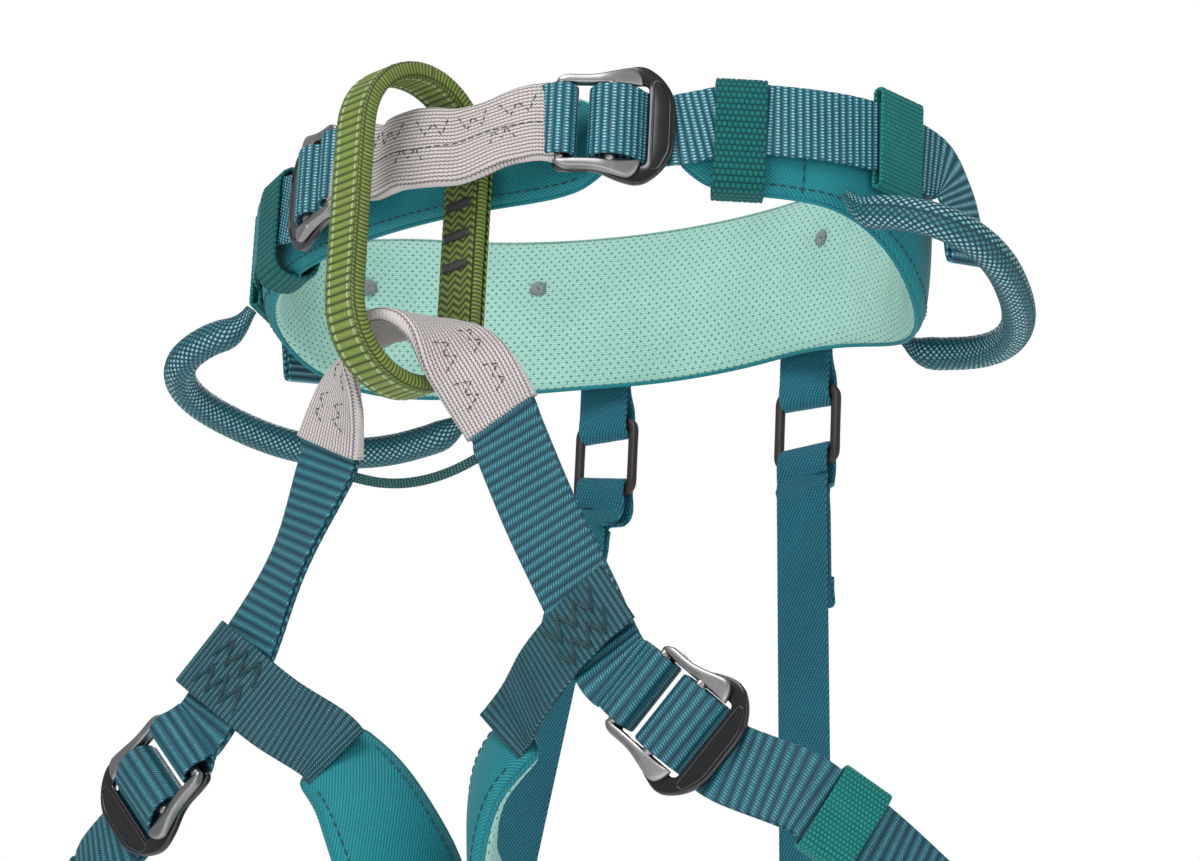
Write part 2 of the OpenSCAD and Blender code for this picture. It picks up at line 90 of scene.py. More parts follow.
def spread(line, at):
    """Points at given lengths along a line of straight stretches."""
    s = lengths(line)
    return np.stack([np.interp(at, s, column) for column in line.T], 1)


def through(s, values, at):
    """Values read at other lengths, by a smooth curve through the given ones."""
    values = np.asarray(values, float)
    slope = np.gradient(values, s, axis=0)
    k = np.clip(np.searchsorted(s, at) - 1, 0, len(s) - 2)
    h, x = s[k + 1] - s[k], (at - s[k])/(s[k + 1] - s[k])
    if values.ndim > 1:
        h, x = h[:, None], x[:, None]
    return ((2*x**3 - 3*x**2 + 1)*values[k] + (x**3 - 2*x**2 + x)*h*slope[k]
            + (3*x**2 - 2*x**3)*values[k + 1] + (x**3 - x**2)*h*slope[k + 1])


def smooth_line(points, step=1.0*MM):
    """A line through guide points, resampled at even steps."""
    points = np.asarray(points, float)
    s = lengths(points)
    fine = through(s, points, np.linspace(0, s[-1], 12*len(points)))
    s = lengths(fine)
    return through(s, fine, np.linspace(0, s[-1], max(3, int(round(s[-1]/step)) + 1)))


def ease(x):
    x = np.clip(x, 0, 1)
    return x*x*(3 - 2*x)


# ---- reading the frame ----

def vertices(node):
    return np.array([v.co for v in frame["nodes"][node].data.vertices], float)


def welded(node):
    mesh = bmesh.new()
    mesh.from_mesh(frame["nodes"][node].data)
    bmesh.ops.remove_doubles(mesh, verts=mesh.verts, dist=2e-6)
    mesh.verts.ensure_lookup_table()
    return mesh


def flat_groups(mesh):
    """Groups of neighbouring faces that lie in one plane."""
    seen = set()
    for face in mesh.faces:
        if face in seen:
            continue
        group, todo = {face}, [face]
        while todo:
            for edge in todo.pop().edges:
                for other in edge.link_faces:
                    if other not in group and other.normal.dot(face.normal) > 0.99999:
                        group.add(other)
                        todo.append(other)
        seen |= group
        yield group


def layers(node, size, start):
    """Rings of a swept solid, each of `size` points, from the end that lies furthest towards `start`."""
    mesh = welded(node)
    near = [{e.other_vert(v).index for e in v.link_edges} for v in mesh.verts]
    points = np.array([v.co for v in mesh.verts])
    best = (0, 0, None)
    for group in flat_groups(mesh):
        corners = {v.index for f in group for v in f.verts}
        if len(corners) != size:
            continue
        rings, done, last = [sorted(corners)], set(corners), corners
        while True:
            last = set().union(*(near[i] for i in last)) - done
            if len(last) != size:
                break
            rings.append(sorted(last))
            done |= last
        best = max(best, (len(rings), points[rings[0]].mean(0) @ start, rings))
    mesh.free()
    return points[np.array(best[2])]


def plane_cut(node, at, normal):
    """Points where a solid's edges cross a plane."""
    mesh = welded(node)
    found = []
    for edge in mesh.edges:
        a, b = (np.array(v.co, float) for v in edge.verts)
        da, db = (a - at) @ normal, (b - at) @ normal
        if da*db < 0:
            found.append(a + (b - a)*da/(da - db))
    mesh.free()
    return np.array(found)


class Strip:
    """A strap's middle line, with the directions across it and out of its face, its width and thickness."""

    def __init__(self, p, a, f, w, t):
        self.p, self.a, self.f = np.asarray(p, float), unit(a), unit(f)
        self.w = np.broadcast_to(np.asarray(w, float), len(self.p)).copy()
        self.t = np.broadcast_to(np.asarray(t, float), len(self.p)).copy()
        self.s = lengths(self.p)

    def read(self, s):
        """The strip at other lengths along it."""
        return Strip(through(self.s, self.p, s), through(self.s, self.a, s), through(self.s, self.f, s),
                     np.interp(s, self.s, self.w), np.interp(s, self.s, self.t))

    def part(self, start, end, step=1.0*MM):
        return self.read(np.linspace(start, end, max(2, int(round(abs(end - start)/step)) + 1)))

    def every(self, step):
        return self.part(0, self.s[-1], step)

    def where(self, keep):
        """The strip with only some of its points."""
        return Strip(self.p[keep], self.a[keep], self.f[keep], self.w[keep], self.t[keep])

    def back(self):
        """The strip run the other way, with the same face outside."""
        return Strip(self.p[::-1], -self.a[::-1], self.f[::-1], self.w[::-1], self.t[::-1])

    def turned(self):
        """The strip with its other face outside."""
        return Strip(self.p, -self.a, -self.f, self.w, self.t)

    def twisted(self, degrees, end):
        """The strip turned about its own line, most of all halfway to `end`."""
        q = np.radians(degrees)*(np.sin(np.pi*np.clip(self.s/end, 0, 1))**1.3)[:, None]
        return Strip(self.p, self.a*np.cos(q) + self.f*np.sin(q), self.f*np.cos(q) - self.a*np.sin(q),
                     self.w, self.t)

    def shifted(self, out):
        """The same strap moved out of its face."""
        return Strip(self.p + self.f*np.asarray(out, float).reshape(-1, 1), self.a, self.f, self.w, self.t)

    def sized(self, w=None, t=None):
        return Strip(self.p, self.a, self.f, self.w if w is None else w, self.t if t is None else t)

    def on(self, s, v, lift=0.0):
        """Points on the outer face, at lengths s and distances v across."""
        at = self.read(np.asarray(s, float))
        return at.p + at.a*np.asarray(v, float)[:, None] + at.f*(at.t/2 + lift)[:, None]


def chained(*strips):
    """Strips one after the other, made into one."""
    whole = Strip(*(np.concatenate([getattr(strip, name) for strip in strips]) for name in "pafwt"))
    return whole.where(np.concatenate([[True], np.diff(whole.s) > 0.05*MM]))


def strip_of(node, start, out=FRONT):
    """A strip from a strap solid, begun at its end towards `start`. Its face starts towards `out`."""
    rings = layers(node, 4, start)
    p = rings.mean(1)
    a, f, w, t = [], [], [], []
    facing = out
    d = unit(np.gradient(p, axis=0))
    for i, ring in enumerate(rings):
        r = ring - p[i]
        order = np.argsort(np.linalg.norm(r - r[0], axis=1))
        thick, wide = (r[0] - r[order[1]])/2, (r[0] - r[order[2]])/2
        facing = unit(thick)*(1 if thick @ facing > 0 else -1)
        across = unit(wide)
        a.append(across*(1 if across @ np.cross(facing, d[i]) > 0 else -1))
        f.append(facing)
        w.append(2*np.linalg.norm(wide))
        t.append(2*np.linalg.norm(thick))
    return Strip(p, a, f, w, t)


class Axes:
    """A part's own axes: points in millimetres along u, along v and out along n, from the point o."""

    def __init__(self, o, u, v, n):
        self.o, self.u, self.v, self.n = o, u, v, n

    def at(self, u, v, n):
        u, v, n = (np.asarray(x, float)[..., None]*MM for x in (u, v, n))
        return self.o + u*self.u + v*self.v + n*self.n

    def uvn(self, p):
        rel = np.asarray(p, float) - self.o
        return rel @ self.u/MM, rel @ self.v/MM, rel @ self.n/MM


class Buckle(Axes):
    """A buckle's axes, read from its tilt joint and its base plate: u from the narrow end, v along the bars,
    n out of the plate, measured from the middle of the plate's narrow edge on its underside."""

    def __init__(self, kind, side):
        joint = joints[f"{kind}_buckle_tilt_{side}"]
        plate = vertices(f"{kind}_buckle_base_{side}")
        mesh = welded(f"{kind}_buckle_base_{side}")
        normals = [(sum(f.calc_area() for f in g), np.array(next(iter(g)).normal)) for g in flat_groups(mesh)]
        mesh.free()
        n = max(normals, key=lambda x: x[0])[1]
        n = unit(n*(1 if n[1] < 0 else -1))
        u = np.cross(unit(joint["axis"]), n)
        u = u*(1 if u @ (plate.mean(0) - np.array(joint["pos_m"])) > 0 else -1)
        v = np.cross(n, u)
        rel = plate - plate.mean(0)
        middle = (rel @ v).max() + (rel @ v).min()
        super().__init__(plate.mean(0) + u*(rel @ u).min() + n*(rel @ n).min() + v*middle/2, u, v, n)
        ends = (rel @ u) < (rel @ u).min() + 4*MM
        self.long, self.wide, self.thick = np.ptp(rel @ u)/MM, np.ptp(rel @ v)/MM, np.ptp(rel @ n)/MM
        self.narrow = np.ptp((rel @ v)[ends])/MM


# ---- meshes ----

def new_object(name, points, faces, uv):
    """A mesh object with smooth faces, and its length and width in millimetres in the weave's UV map."""
    mesh = bpy.data.meshes.new(name)
    corners = [tuple(int(i) for i in f) for f in faces]
    mesh.from_pydata([tuple(p) for p in np.asarray(points, float)], [], corners)
    mesh.validate()
    mesh.polygons.foreach_set("use_smooth", [True]*len(mesh.polygons))
    layer = mesh.uv_layers.new(name="weave")
    corner = np.zeros(len(mesh.loops), np.int32)
    mesh.loops.foreach_get("vertex_index", corner)
    layer.data.foreach_set("uv", (np.asarray(uv, float)/MM)[corner].astype(np.float32).ravel())
    return linked(bpy.data.objects.new(name, mesh))


def linked(obj):
    bpy.context.scene.collection.objects.link(obj)
    return obj


def joined(name, parts):
    """One object from several (points, faces, uv) parts."""
    faces, base = [], 0
    for points, some, _ in parts:
        faces += [tuple(i + base for i in face) for face in some]
        base += len(points)
    return new_object(name, np.concatenate([part[0] for part in parts]), faces,
                      np.concatenate([part[2] for part in parts]))


def skin(rows, cols, closed=False):
    """Faces over rings of points. The last ring meets the first one, or both ends are capped."""
    faces = []
    for i in range(rows if closed else rows - 1):
        for j in range(cols):
            after, beside = (i + 1) % rows*cols, (j + 1) % cols
            faces.append((i*cols + j, i*cols + beside, after + beside, after + j))
    if not closed:
        faces += [tuple(range(cols))[::-1], tuple((rows - 1)*cols + j for j in range(cols))]
    return faces


def rib(pitch, depth):
    """Ribs across a strap: how deep the groove is at each point."""
    return lambda u, v: depth*(1 - np.abs(np.sin(np.pi*u/pitch))**0.7)


def basket(pitch, across, depth):
    """A basket weave of staggered beads."""
    def groove(u, v):
        shift = 0.5*(np.floor(u/pitch) % 2)
        bead = np.abs(np.sin(np.pi*u/pitch))*np.abs(np.sin(np.pi*(v/across + shift)))
        return depth*(1 - bead**0.5)
    return groove


def twill(u, v):
    return 0.18*(1 - np.abs(np.sin(np.pi*(v + u*0.55)/1.35)))


def plain(u, v):
    return 0*u*v


def section(w, t, columns, corner=None):
    """Points round a strap's section as (across, out), with a weight of 1 on the faces for the weave."""
    r = t/2 if corner is None else min(corner, t/2)
    face = [(x, t/2, 1.0) for x in np.linspace(1, -1, columns)*(w/2 - r)]
    turn = [(-w/2 + r - r*np.sin(q), t/2 - r + r*np.cos(q), 0.5) for q in np.linspace(0, np.pi/2, 4)[1:-1]]
    side = [(-w/2, t/2 - r, 0.3), (-w/2, -t/2 + r, 0.3)]
    half = np.array(face + turn + side + [(x, -y, k) for x, y, k in turn[::-1]])
    return np.concatenate([half, half*(-1, -1, 1)])


def ribbon_part(strip, weave, columns=14, corner=None, crown=0.0, closed=False):
    """A strap's points, faces and weave map. The weave cuts grooves into a rounded section."""
    points, uv = [], []
    for i in range(len(strip.p)):
        v, out, weight = section(strip.w[i], strip.t[i], columns, corner).T
        u = np.full(len(v), strip.s[i])
        out = out - np.sign(out)*weave(u/MM, v/MM)*MM*weight + crown*(1 - (2*v/strip.w[i])**2)
        points.append(strip.p[i] + np.outer(v, strip.a[i]) + np.outer(out, strip.f[i]))
        uv.append(np.stack([u, v], 1))
    return np.concatenate(points), skin(len(points), len(v), closed), np.concatenate(uv)


def ribbon(name, strip, weave, step=0.5*MM, **how):
    return joined(name, [ribbon_part(strip.every(step), weave, **how)])


def tube_part(p, radius, sides=6, closed=False):
    """A round cord along points, with rounded ends."""
    n = len(p)
    d = unit(np.roll(p, -1, 0) - np.roll(p, 1, 0)) if closed else unit(np.gradient(p, axis=0))
    side = unit(np.cross(d[0], [0.13, 0.31, 0.94]))
    r = np.full(n, radius)
    if not closed:
        r[[0, -1]] *= 0.45
    rings, uv, s = [], [], lengths(p)
    angle = np.arange(sides)*2*np.pi/sides
    for i in range(n):
        side = unit(side - d[i]*(side @ d[i]))
        ring = np.outer(np.cos(angle), side) + np.outer(np.sin(angle), np.cross(d[i], side))
        rings.append(p[i] + r[i]*ring)
        uv.append(np.stack([np.full(sides, s[i]), angle*r[i]], 1))
    return np.concatenate(rings), skin(n, sides, closed), np.concatenate(uv)


def cords(name, lines, radius, sides=6):
    return joined(name, [tube_part(line, radius, sides) for line in lines])


def dashes(line, stitch, gap):
    """Short stitches along a line."""
    long = lengths(line)[-1]
    count = max(1, int(long//(stitch + gap)))
    pitch = long/count
    return [spread(line, k*pitch + gap/2 + np.linspace(0, pitch - gap, 4)) for k in range(count)]


def zigzag(turns, per_leg):
    """How far a zigzag of thread has run, and how far it is to one side, both from 0 to 1."""
    run = np.linspace(0, 1, 2*turns*per_leg + 1)
    return run, np.abs((run*2*turns + 1) % 2 - 1)


def bar_tack(strip, s, length, width):
    """A dense block of zigzag thread across a strap."""
    run, wave = zigzag(15, 4)
    return strip.on(s + (wave - 0.5)*width, (run - 0.5)*length, TACK_LIFT)


def apply_modifiers(obj):
    dg = bpy.context.evaluated_depsgraph_get()
    mesh = bpy.data.meshes.new_from_object(obj.evaluated_get(dg), preserve_all_data_layers=True, depsgraph=dg)
    obj.modifiers.clear()
    obj.data = mesh
    return obj


# ---- materials ----

class Num:
    """A number in a material's nodes, so that patterns are written as formulas."""

    def __init__(self, tree, socket):
        self.tree, self.socket = tree, socket

    def op(self, kind, *others):
        node = self.tree.nodes.new("ShaderNodeMath")
        node.operation = kind
        for socket, value in zip(node.inputs, (self,) + others):
            feed(self.tree, value, socket)
        return Num(self.tree, node.outputs[0])

    __add__ = __radd__ = partialmethod(op, "ADD")
    __mul__ = __rmul__ = partialmethod(op, "MULTIPLY")
    __sub__ = partialmethod(op, "SUBTRACT")
    __truediv__ = partialmethod(op, "DIVIDE")
    fract = partialmethod(op, "FRACT")
    abs = partialmethod(op, "ABSOLUTE")
    power = partialmethod(op, "POWER")

    def __rsub__(self, other):
        return self*-1.0 + other

    def odd(self):
        """0 in even steps and 1 in odd ones."""
        return self.op("FLOOR").op("FLOORED_MODULO", 2.0)

    def bump_at(self, pitch, shift=0.0):
        """A row of humps, one each pitch, from 0 in the gaps to 1 on top."""
        return ((self/pitch + shift)*math.pi).op("SINE").abs()

    def ramp(self, low, high):
        node = self.tree.nodes.new("ShaderNodeMapRange")
        node.interpolation_type = "SMOOTHSTEP"
        for name, value in (("Value", self), ("From Min", low), ("From Max", high)):
            feed(self.tree, value, node.inputs[name])
        return Num(self.tree, node.outputs[0])


def feed(tree, value, socket):
    """Links a value made by nodes to a socket, or sets a plain one."""
    if isinstance(value, Num):
        value = value.socket
    if isinstance(value, bpy.types.NodeSocket):
        tree.links.new(value, socket)
    else:
        socket.default_value = (*value, 1.0) if isinstance(value, tuple) else value


class Finish:
    """A material under construction: its surface node, the weave's coordinates in millimetres, and helpers."""

    def __init__(self, name, roughness, specular, sheen=0.0, metallic=0.0, coat=0.0):
        self.material = bpy.data.materials.new(name)
        self.material.use_nodes = True
        self.tree = self.material.node_tree
        self.surface = self.tree.nodes["Principled BSDF"].inputs
        for socket, value in (("Roughness", roughness), ("Specular IOR Level", specular),
                              ("Sheen Weight", sheen), ("Metallic", metallic), ("Coat Weight", coat),
                              ("Sheen Roughness", 0.4), ("Coat Roughness", 0.2)):
            self.surface[socket].default_value = value
        uv = self.tree.nodes.new("ShaderNodeUVMap")
        uv.uv_map = "weave"
        split = self.tree.nodes.new("ShaderNodeSeparateXYZ")
        self.tree.links.new(uv.outputs[0], split.inputs[0])
        self.u, self.v = Num(self.tree, split.outputs[0]), Num(self.tree, split.outputs[1])

    def texture(self, vector, scale, detail=2.0):
        node = self.tree.nodes.new("ShaderNodeTexNoise")
        node.inputs["Scale"].default_value = scale
        node.inputs["Detail"].default_value = detail
        self.tree.links.new(vector, node.inputs["Vector"])
        return Num(self.tree, node.outputs[0])

    def noise(self, size, detail=2.0, stretch=1.0, seed=0.0):
        """Smooth noise from 0 to 1, with spots of about `size` millimetres, stretched along the weave."""
        node = self.tree.nodes.new("ShaderNodeCombineXYZ")
        for socket, value in zip(node.inputs, (self.u/stretch, self.v, seed)):
            feed(self.tree, value, socket)
        return self.texture(node.outputs[0], 1.0/size, detail)

    def mix(self, a, b, share):
        node = self.tree.nodes.new("ShaderNodeMix")
        node.data_type = "RGBA"
        for socket, value in ((node.inputs["Factor"], share), (node.inputs[6], a), (node.inputs[7], b)):
            feed(self.tree, value, socket)
        return node.outputs[2]

    def rough(self, number):
        feed(self.tree, number, self.surface["Roughness"])

    def done(self, colour, height, depth_mm, strength=1.0):
        """Finishes the material: its colour, and its relief of a given depth."""
        feed(self.tree, colour, self.surface["Base Color"])
        node = self.tree.nodes.new("ShaderNodeBump")
        for name, value in (("Distance", depth_mm*MM), ("Strength", strength), ("Height", height)):
            feed(self.tree, value, node.inputs[name])
        feed(self.tree, node.outputs[0], self.surface["Normal"])
        return self.material


def webbing_finish(name, pitch, dark, mid, light, slant=0.0, yarn=1.15, highlight_share=0.5):
    """Woven nylon webbing: ribs across it, each made of short yarn floats. Its colour holds painted shade in the
    gaps between them and painted highlights on their tops.
    """
    m = Finish(name, 0.42, 0.45)
    rib_top = m.u.bump_at(pitch)
    float_top = (m.v + m.u*slant).bump_at(yarn, (m.u/pitch).odd()*0.5)
    height = rib_top.power(0.6)*(float_top.power(0.7)*0.6 + 0.4)
    patchy = m.noise(14, detail=3, stretch=2.5)
    fine = m.noise(0.9, detail=1, seed=3.0)
    # painted shade: darker in the gaps between ribs and floats and lighter on their tops, mixed with patchy tone
    # that differs at random
    base = m.mix(dark, mid, (height*1.15 + patchy*0.35 - 0.2).ramp(0.05, 0.95))
    # painted highlight: light spots on the tops of the floats stand in for their glints, in the colour `light`
    tops = (rib_top.power(2)*float_top.power(1.5)*(fine*0.9 + 0.6)).ramp(0.5, 1.05)*highlight_share
    m.rough(fine*0.25 + 0.32 + (1 - height)*0.2)
    return m.done(m.mix(base, light, tops), height, 0.28)


def basket_finish(name, along, across, dark, mid, light):
    """Elastic basket weave, with beads in staggered rows. Its colour holds painted shade between the beads and
    painted highlights on their tops.
    """
    m = Finish(name, 0.7, 0.2, sheen=0.08)
    bead = m.u.bump_at(along)*m.v.bump_at(across, (m.u/along).odd()*0.5)
    fine = m.noise(0.7, detail=1)
    patchy = m.noise(16, detail=2, seed=5.0)
    height = bead.power(0.5)
    # painted shade: darker between the beads, mixed with patchy tone that differs at random
    base = m.mix(dark, mid, (height*1.1 + patchy*0.3 - 0.15).ramp(0.1, 1.0))
    # painted highlight on the tops of the beads
    return m.done(m.mix(base, light, (height*(fine + 0.45)).ramp(0.85, 1.25)*0.45), height, 0.3)


def sleeve_finish():
    """Warm grey knit tube: fine rows along it, painted lighter on their tops, with painted shade in the small
    holes between the stitches.
    """
    m = Finish("sleeve_knit", 0.85, 0.15, sheen=0.15)
    row = m.v.bump_at(1.3)
    stitch = (m.u + m.v*0.35).bump_at(1.25, (m.v/1.3).odd()*0.5)
    hole = ((1 - row)*1.0 + (1 - stitch)*0.85).ramp(0.72, 1.3)
    fine = m.noise(0.6, detail=2)
    soil = m.noise(18, detail=3, seed=2.0)
    # painted shade: the rows lighter on their tops and darker between them
    cloth = m.mix((0.43, 0.385, 0.37), (0.63, 0.585, 0.57), (row*0.6 + fine*0.5).ramp(0.2, 1.0))
    cloth = m.mix(cloth, (0.42, 0.37, 0.36), soil.ramp(0.52, 0.8)*0.45)
    # painted shade: the holes between the stitches are filled with near black
    return m.done(m.mix(cloth, (0.10, 0.075, 0.07), hole*0.85), row*0.6 + stitch*0.4 - hole*0.8, 0.22)


def belay_finish():
    """Olive loop webbing: ribs across, chained edges and two pale thread lines, with painted shade in the grooves
    and painted highlights on the rib tops.
    """
    m = Finish("belay_webbing", 0.5, 0.35, sheen=0.05)
    rib_top = m.u.bump_at(BELAY_RIB)
    yarn = (m.v + m.u*0.12).bump_at(0.9)
    edge = m.v.abs().ramp(5.4, 6.4)
    chain = (m.u + m.v.abs()*0.8).bump_at(1.4)*(m.v.abs()*1.0).bump_at(1.2)
    flat = rib_top.power(0.7)*(yarn*0.2 + 0.8)
    height = flat*(1 - edge) + chain*edge
    patchy = m.noise(20, detail=3, stretch=2.0)
    # painted shade: darker in the grooves, mixed with patchy tone that differs at random
    base = m.mix((0.036, 0.050, 0.009), (0.18, 0.25, 0.042), (height + patchy*0.4 - 0.2).ramp(0.05, 0.95))
    fine = m.noise(0.8, detail=1)
    # painted highlight on the rib tops
    base = m.mix(base, (0.50, 0.58, 0.20), (height*(fine*0.8 + 0.5)).ramp(0.8, 1.15)*0.5)
    line = 1 - (m.v.abs() - 4.4).abs().ramp(0.28, 0.45)
    dash = m.u.bump_at(BELAY_RIB).ramp(0.35, 0.6)
    return m.done(m.mix(base, (0.42, 0.60, 0.38), line*dash*0.75), height + line*dash*0.5, 0.3)


def overlap_finish():
    """The sewn overlap of the belay loop: zigzag rows of yarn, with painted shade between the rows and painted
    highlights on their tops.
    """
    m = Finish("belay_overlap_weave", 0.55, 0.4)
    lean = (((m.v/3.1 + 8.0).op("FLOORED_MODULO", 2.0) - 1.0).abs())*0.9
    row = ((m.u/2.6 + lean).fract() - 0.5).abs()*2.0
    yarn = (m.v + m.u*0.4).bump_at(0.8)
    fine = m.noise(0.8, detail=1)
    height = (1 - row)*(yarn*0.3 + 0.7)
    # painted shade: darker between the zigzag rows
    base = m.mix((0.035, 0.052, 0.010), (0.190, 0.265, 0.050), height.ramp(0.05, 0.9))
    # painted highlight on the tops of the rows
    tops = (height*(fine*0.8 + 0.5)).ramp(0.8, 1.15)*0.5
    return m.done(m.mix(base, (0.38, 0.47, 0.16), tops), height, 0.3)


def lining_finish():
    """Mint spacer mesh: fine courses, painted lighter on their tops, with painted shade in small holes in
    staggered rows.
    """
    m = Finish("lining_mesh", 0.85, 0.15, sheen=0.15)
    pitch, rows = 3.3, 1.75
    x = ((m.u/pitch + (m.v/rows).odd()*0.5).fract() - 0.5).abs()*pitch
    y = ((m.v/rows).fract() - 0.5).abs()*rows
    wobble = m.noise(2.5, detail=1, seed=4.0)*0.35
    hole = 1 - (x*0.8 + y + wobble).ramp(0.35, 0.85)
    course = m.v.bump_at(0.875)
    loop = (m.u + m.v*0.5).bump_at(1.1)
    patchy = m.noise(30, detail=2, seed=1.0)
    # painted shade: the courses and loops lighter on their tops, mixed with patchy tone that differs at random
    shade = (course*0.5 + loop*0.25 + patchy*0.6).ramp(0.25, 1.05)
    cloth = m.mix((0.26, 0.50, 0.415), (0.40, 0.67, 0.585), shade)
    # painted shade: the holes are filled with dark green
    return m.done(m.mix(cloth, (0.07, 0.27, 0.21), hole*0.85), course*0.25 + loop*0.15 - hole, 0.35)


def shell_finish():
    """Teal face fabric with a fine diagonal twill, with painted shade between its lines and painted highlights on
    their tops.
    """
    m = Finish("shell_twill", 0.6, 0.25, sheen=0.08)
    line = (m.u*0.75 + m.v).bump_at(1.25)
    yarn = (m.u - m.v*0.4).bump_at(0.8)
    patchy = m.noise(35, detail=3)
    fine = m.noise(0.7, detail=1, seed=2.0)
    height = line*0.7 + yarn*0.3
    # painted shade: darker between the twill lines, mixed with patchy tone that differs at random
    shade = (height*0.9 + patchy*0.5 - 0.15).ramp(0.1, 1.0)
    base = m.mix((0.003, 0.095, 0.125), (0.008, 0.235, 0.265), shade)
    # painted highlight on the tops of the twill lines
    return m.done(m.mix(base, (0.10, 0.42, 0.44), (height*(fine*0.7 + 0.6)).ramp(0.8, 1.1)*0.4), height, 0.16)


def elastic_finish():
    """Elastic riser strap: steep diagonal twill, with painted shade between its lines and bright painted
    highlights on their tops.
    """
    m = Finish("riser_elastic", 0.6, 0.3, sheen=0.08)
    line = (m.v + m.u*0.55).bump_at(1.35)
    step = (m.u - m.v*0.2).bump_at(1.0)
    fine = m.noise(0.7, detail=1)
    patchy = m.noise(22, detail=2, seed=3.0)
    height = line*(step*0.4 + 0.6)
    # painted shade: darker between the twill lines, mixed with patchy tone that differs at random
    base = m.mix((0.004, 0.055, 0.085), (0.008, 0.17, 0.235), (height + patchy*0.4 - 0.15).ramp(0.1, 1.0))
    # painted highlight: bright spots on the tops of the twill lines
    twill_highlight = (height*(fine*0.8 + 0.5)).ramp(0.8, 1.15)*0.5
    return m.done(m.mix(base, (0.16, 0.46, 0.52), twill_highlight), height, 0.25)


def braid_finish():
    """Braided sheath: small diamonds of dark teal strands, with pale ones in rows along it."""
    m = Finish("gear_braid", 0.45, 0.45)
    bead = (m.u*0.9 + m.v).bump_at(2.25)*(m.u*0.9 - m.v).bump_at(2.25)
    fine = m.noise(0.8, detail=1)
    height = bead.power(0.5)
    # painted shade: darker between the diamonds and lighter on their tops
    base = m.mix((0.001, 0.030, 0.045), (0.004, 0.150, 0.190), height.ramp(0.25, 0.95))
    row = (m.v/4.5 + 0.25).odd()*0.75 + 0.12
    pale = bead.ramp(0.45, 0.85)*row*(fine*0.8 + 0.35)
    return m.done(m.mix(base, (0.42, 0.72, 0.76), pale), height, 0.3)


def thread_finish(name, dark, light):
    """Twisted sewing thread."""
    m = Finish(name, 0.6, 0.35, sheen=0.2)
    twist = (m.u + m.v*1.3).bump_at(0.6)
    # painted shade: lighter on the ridges of the twist and darker between them, with tone that differs at random
    return m.done(m.mix(dark, light, twist.ramp(0.2, 1.0)*(m.noise(3.0)*0.6 + 0.5)), twist, 0.08)


def hard_finish(name, base, rough, metallic, wear, wear_share, grain=0.15, coat=0.0, relief=0.4):
    """Metal or moulded nylon, rubbed brighter on its sharp edges."""
    m = Finish(name, rough, 0.5, metallic=metallic, coat=coat)
    geometry = m.tree.nodes.new("ShaderNodeNewGeometry")
    sharp = Num(m.tree, geometry.outputs["Pointiness"]).ramp(0.54, 0.64)
    place_in = m.tree.nodes.new("ShaderNodeTexCoord").outputs["Object"]
    speck = m.texture(place_in, 900, 3)
    cloud = m.texture(place_in, 120)
    tone = m.mix(tuple(c*0.8 for c in base), tuple(c*1.25 for c in base), cloud)
    m.rough(speck*grain + cloud*0.12 + rough - 0.1)
    return m.done(m.mix(tone, wear, sharp*(speck*0.6 + 0.4)*wear_share), speck, 0.01, relief)


# TEAL_DARK is the painted shade in the webbings' gaps. Each webbing and basket finish below takes, in order, a
# painted shade colour for its gaps, its own mid tone, and a painted highlight colour for its tops.
TEAL_DARK = (0.002, 0.026, 0.045)
MATERIALS = {
    "webbing": webbing_finish("waist_webbing_weave", WEB_RIB, TEAL_DARK, (0.004, 0.150, 0.200),
                              (0.50, 0.78, 0.82), yarn=1.1, highlight_share=0.8),
    "leg_webbing": webbing_finish("leg_webbing_weave", LEG_RIB, TEAL_DARK, (0.003, 0.105, 0.145),
                                  (0.14, 0.44, 0.50), slant=0.35, yarn=0.95, highlight_share=0.6),
    "junction": webbing_finish("junction_weave", 2.0, (0.001, 0.018, 0.028), (0.004, 0.075, 0.100),
                               (0.16, 0.42, 0.46), slant=0.3, yarn=0.9, highlight_share=0.4),
    "bridge_elastic": webbing_finish("bridge_cord_weave", 1.2, (0.001, 0.020, 0.022), (0.003, 0.075, 0.070),
                                     (0.15, 0.40, 0.38), yarn=0.8),
    "keeper": basket_finish("keeper_basket", 2.1, 1.8, (0.001, 0.036, 0.036), (0.004, 0.135, 0.130),
                            (0.05, 0.33, 0.30)),
    "rear_keeper": basket_finish("rear_keeper_basket", 1.5, 1.3, (0.002, 0.07, 0.065), (0.008, 0.22, 0.20),
                                 (0.10, 0.42, 0.38)),
    "sleeve": sleeve_finish(),
    "belay": belay_finish(),
    "belay_overlap": overlap_finish(),
    "lining": lining_finish(),
    "shell": shell_finish(),
    "elastic": elastic_finish(),
    "gear_sheath": braid_finish(),
    "buckle_base": hard_finish("buckle_black", (0.004, 0.004, 0.005), 0.17, 0.0, (0.05, 0.05, 0.05), 0.3,
                               grain=0.04, coat=0.3, relief=0.08),
    "buckle_frame": hard_finish("buckle_gunmetal", (0.30, 0.29, 0.285), 0.30, 1.0, (0.85, 0.83, 0.80), 0.9),
    "hook": hard_finish("hook_nylon", (0.022, 0.014, 0.013), 0.4, 0.0, (0.16, 0.13, 0.12), 0.5, grain=0.2),
    "dark_thread": thread_finish("dark_thread", (0.02, 0.018, 0.02), (0.075, 0.068, 0.072)),
    "grey_thread": thread_finish("grey_thread", (0.16, 0.18, 0.18), (0.36, 0.40, 0.40)),
    "teal_thread": thread_finish("teal_thread", (0.001, 0.02, 0.03), (0.006, 0.09, 0.11)),
}


def place(piece, material, body, *nodes, slot=None):
    """Gives a piece its material, its body and the CAD nodes that it stands for."""
    piece.data.materials.clear()
    piece.data.materials.append(MATERIALS[material])
    if body:
        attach(piece, body)
    if nodes:
        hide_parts(*nodes)


# ---- straps through the buckles ----

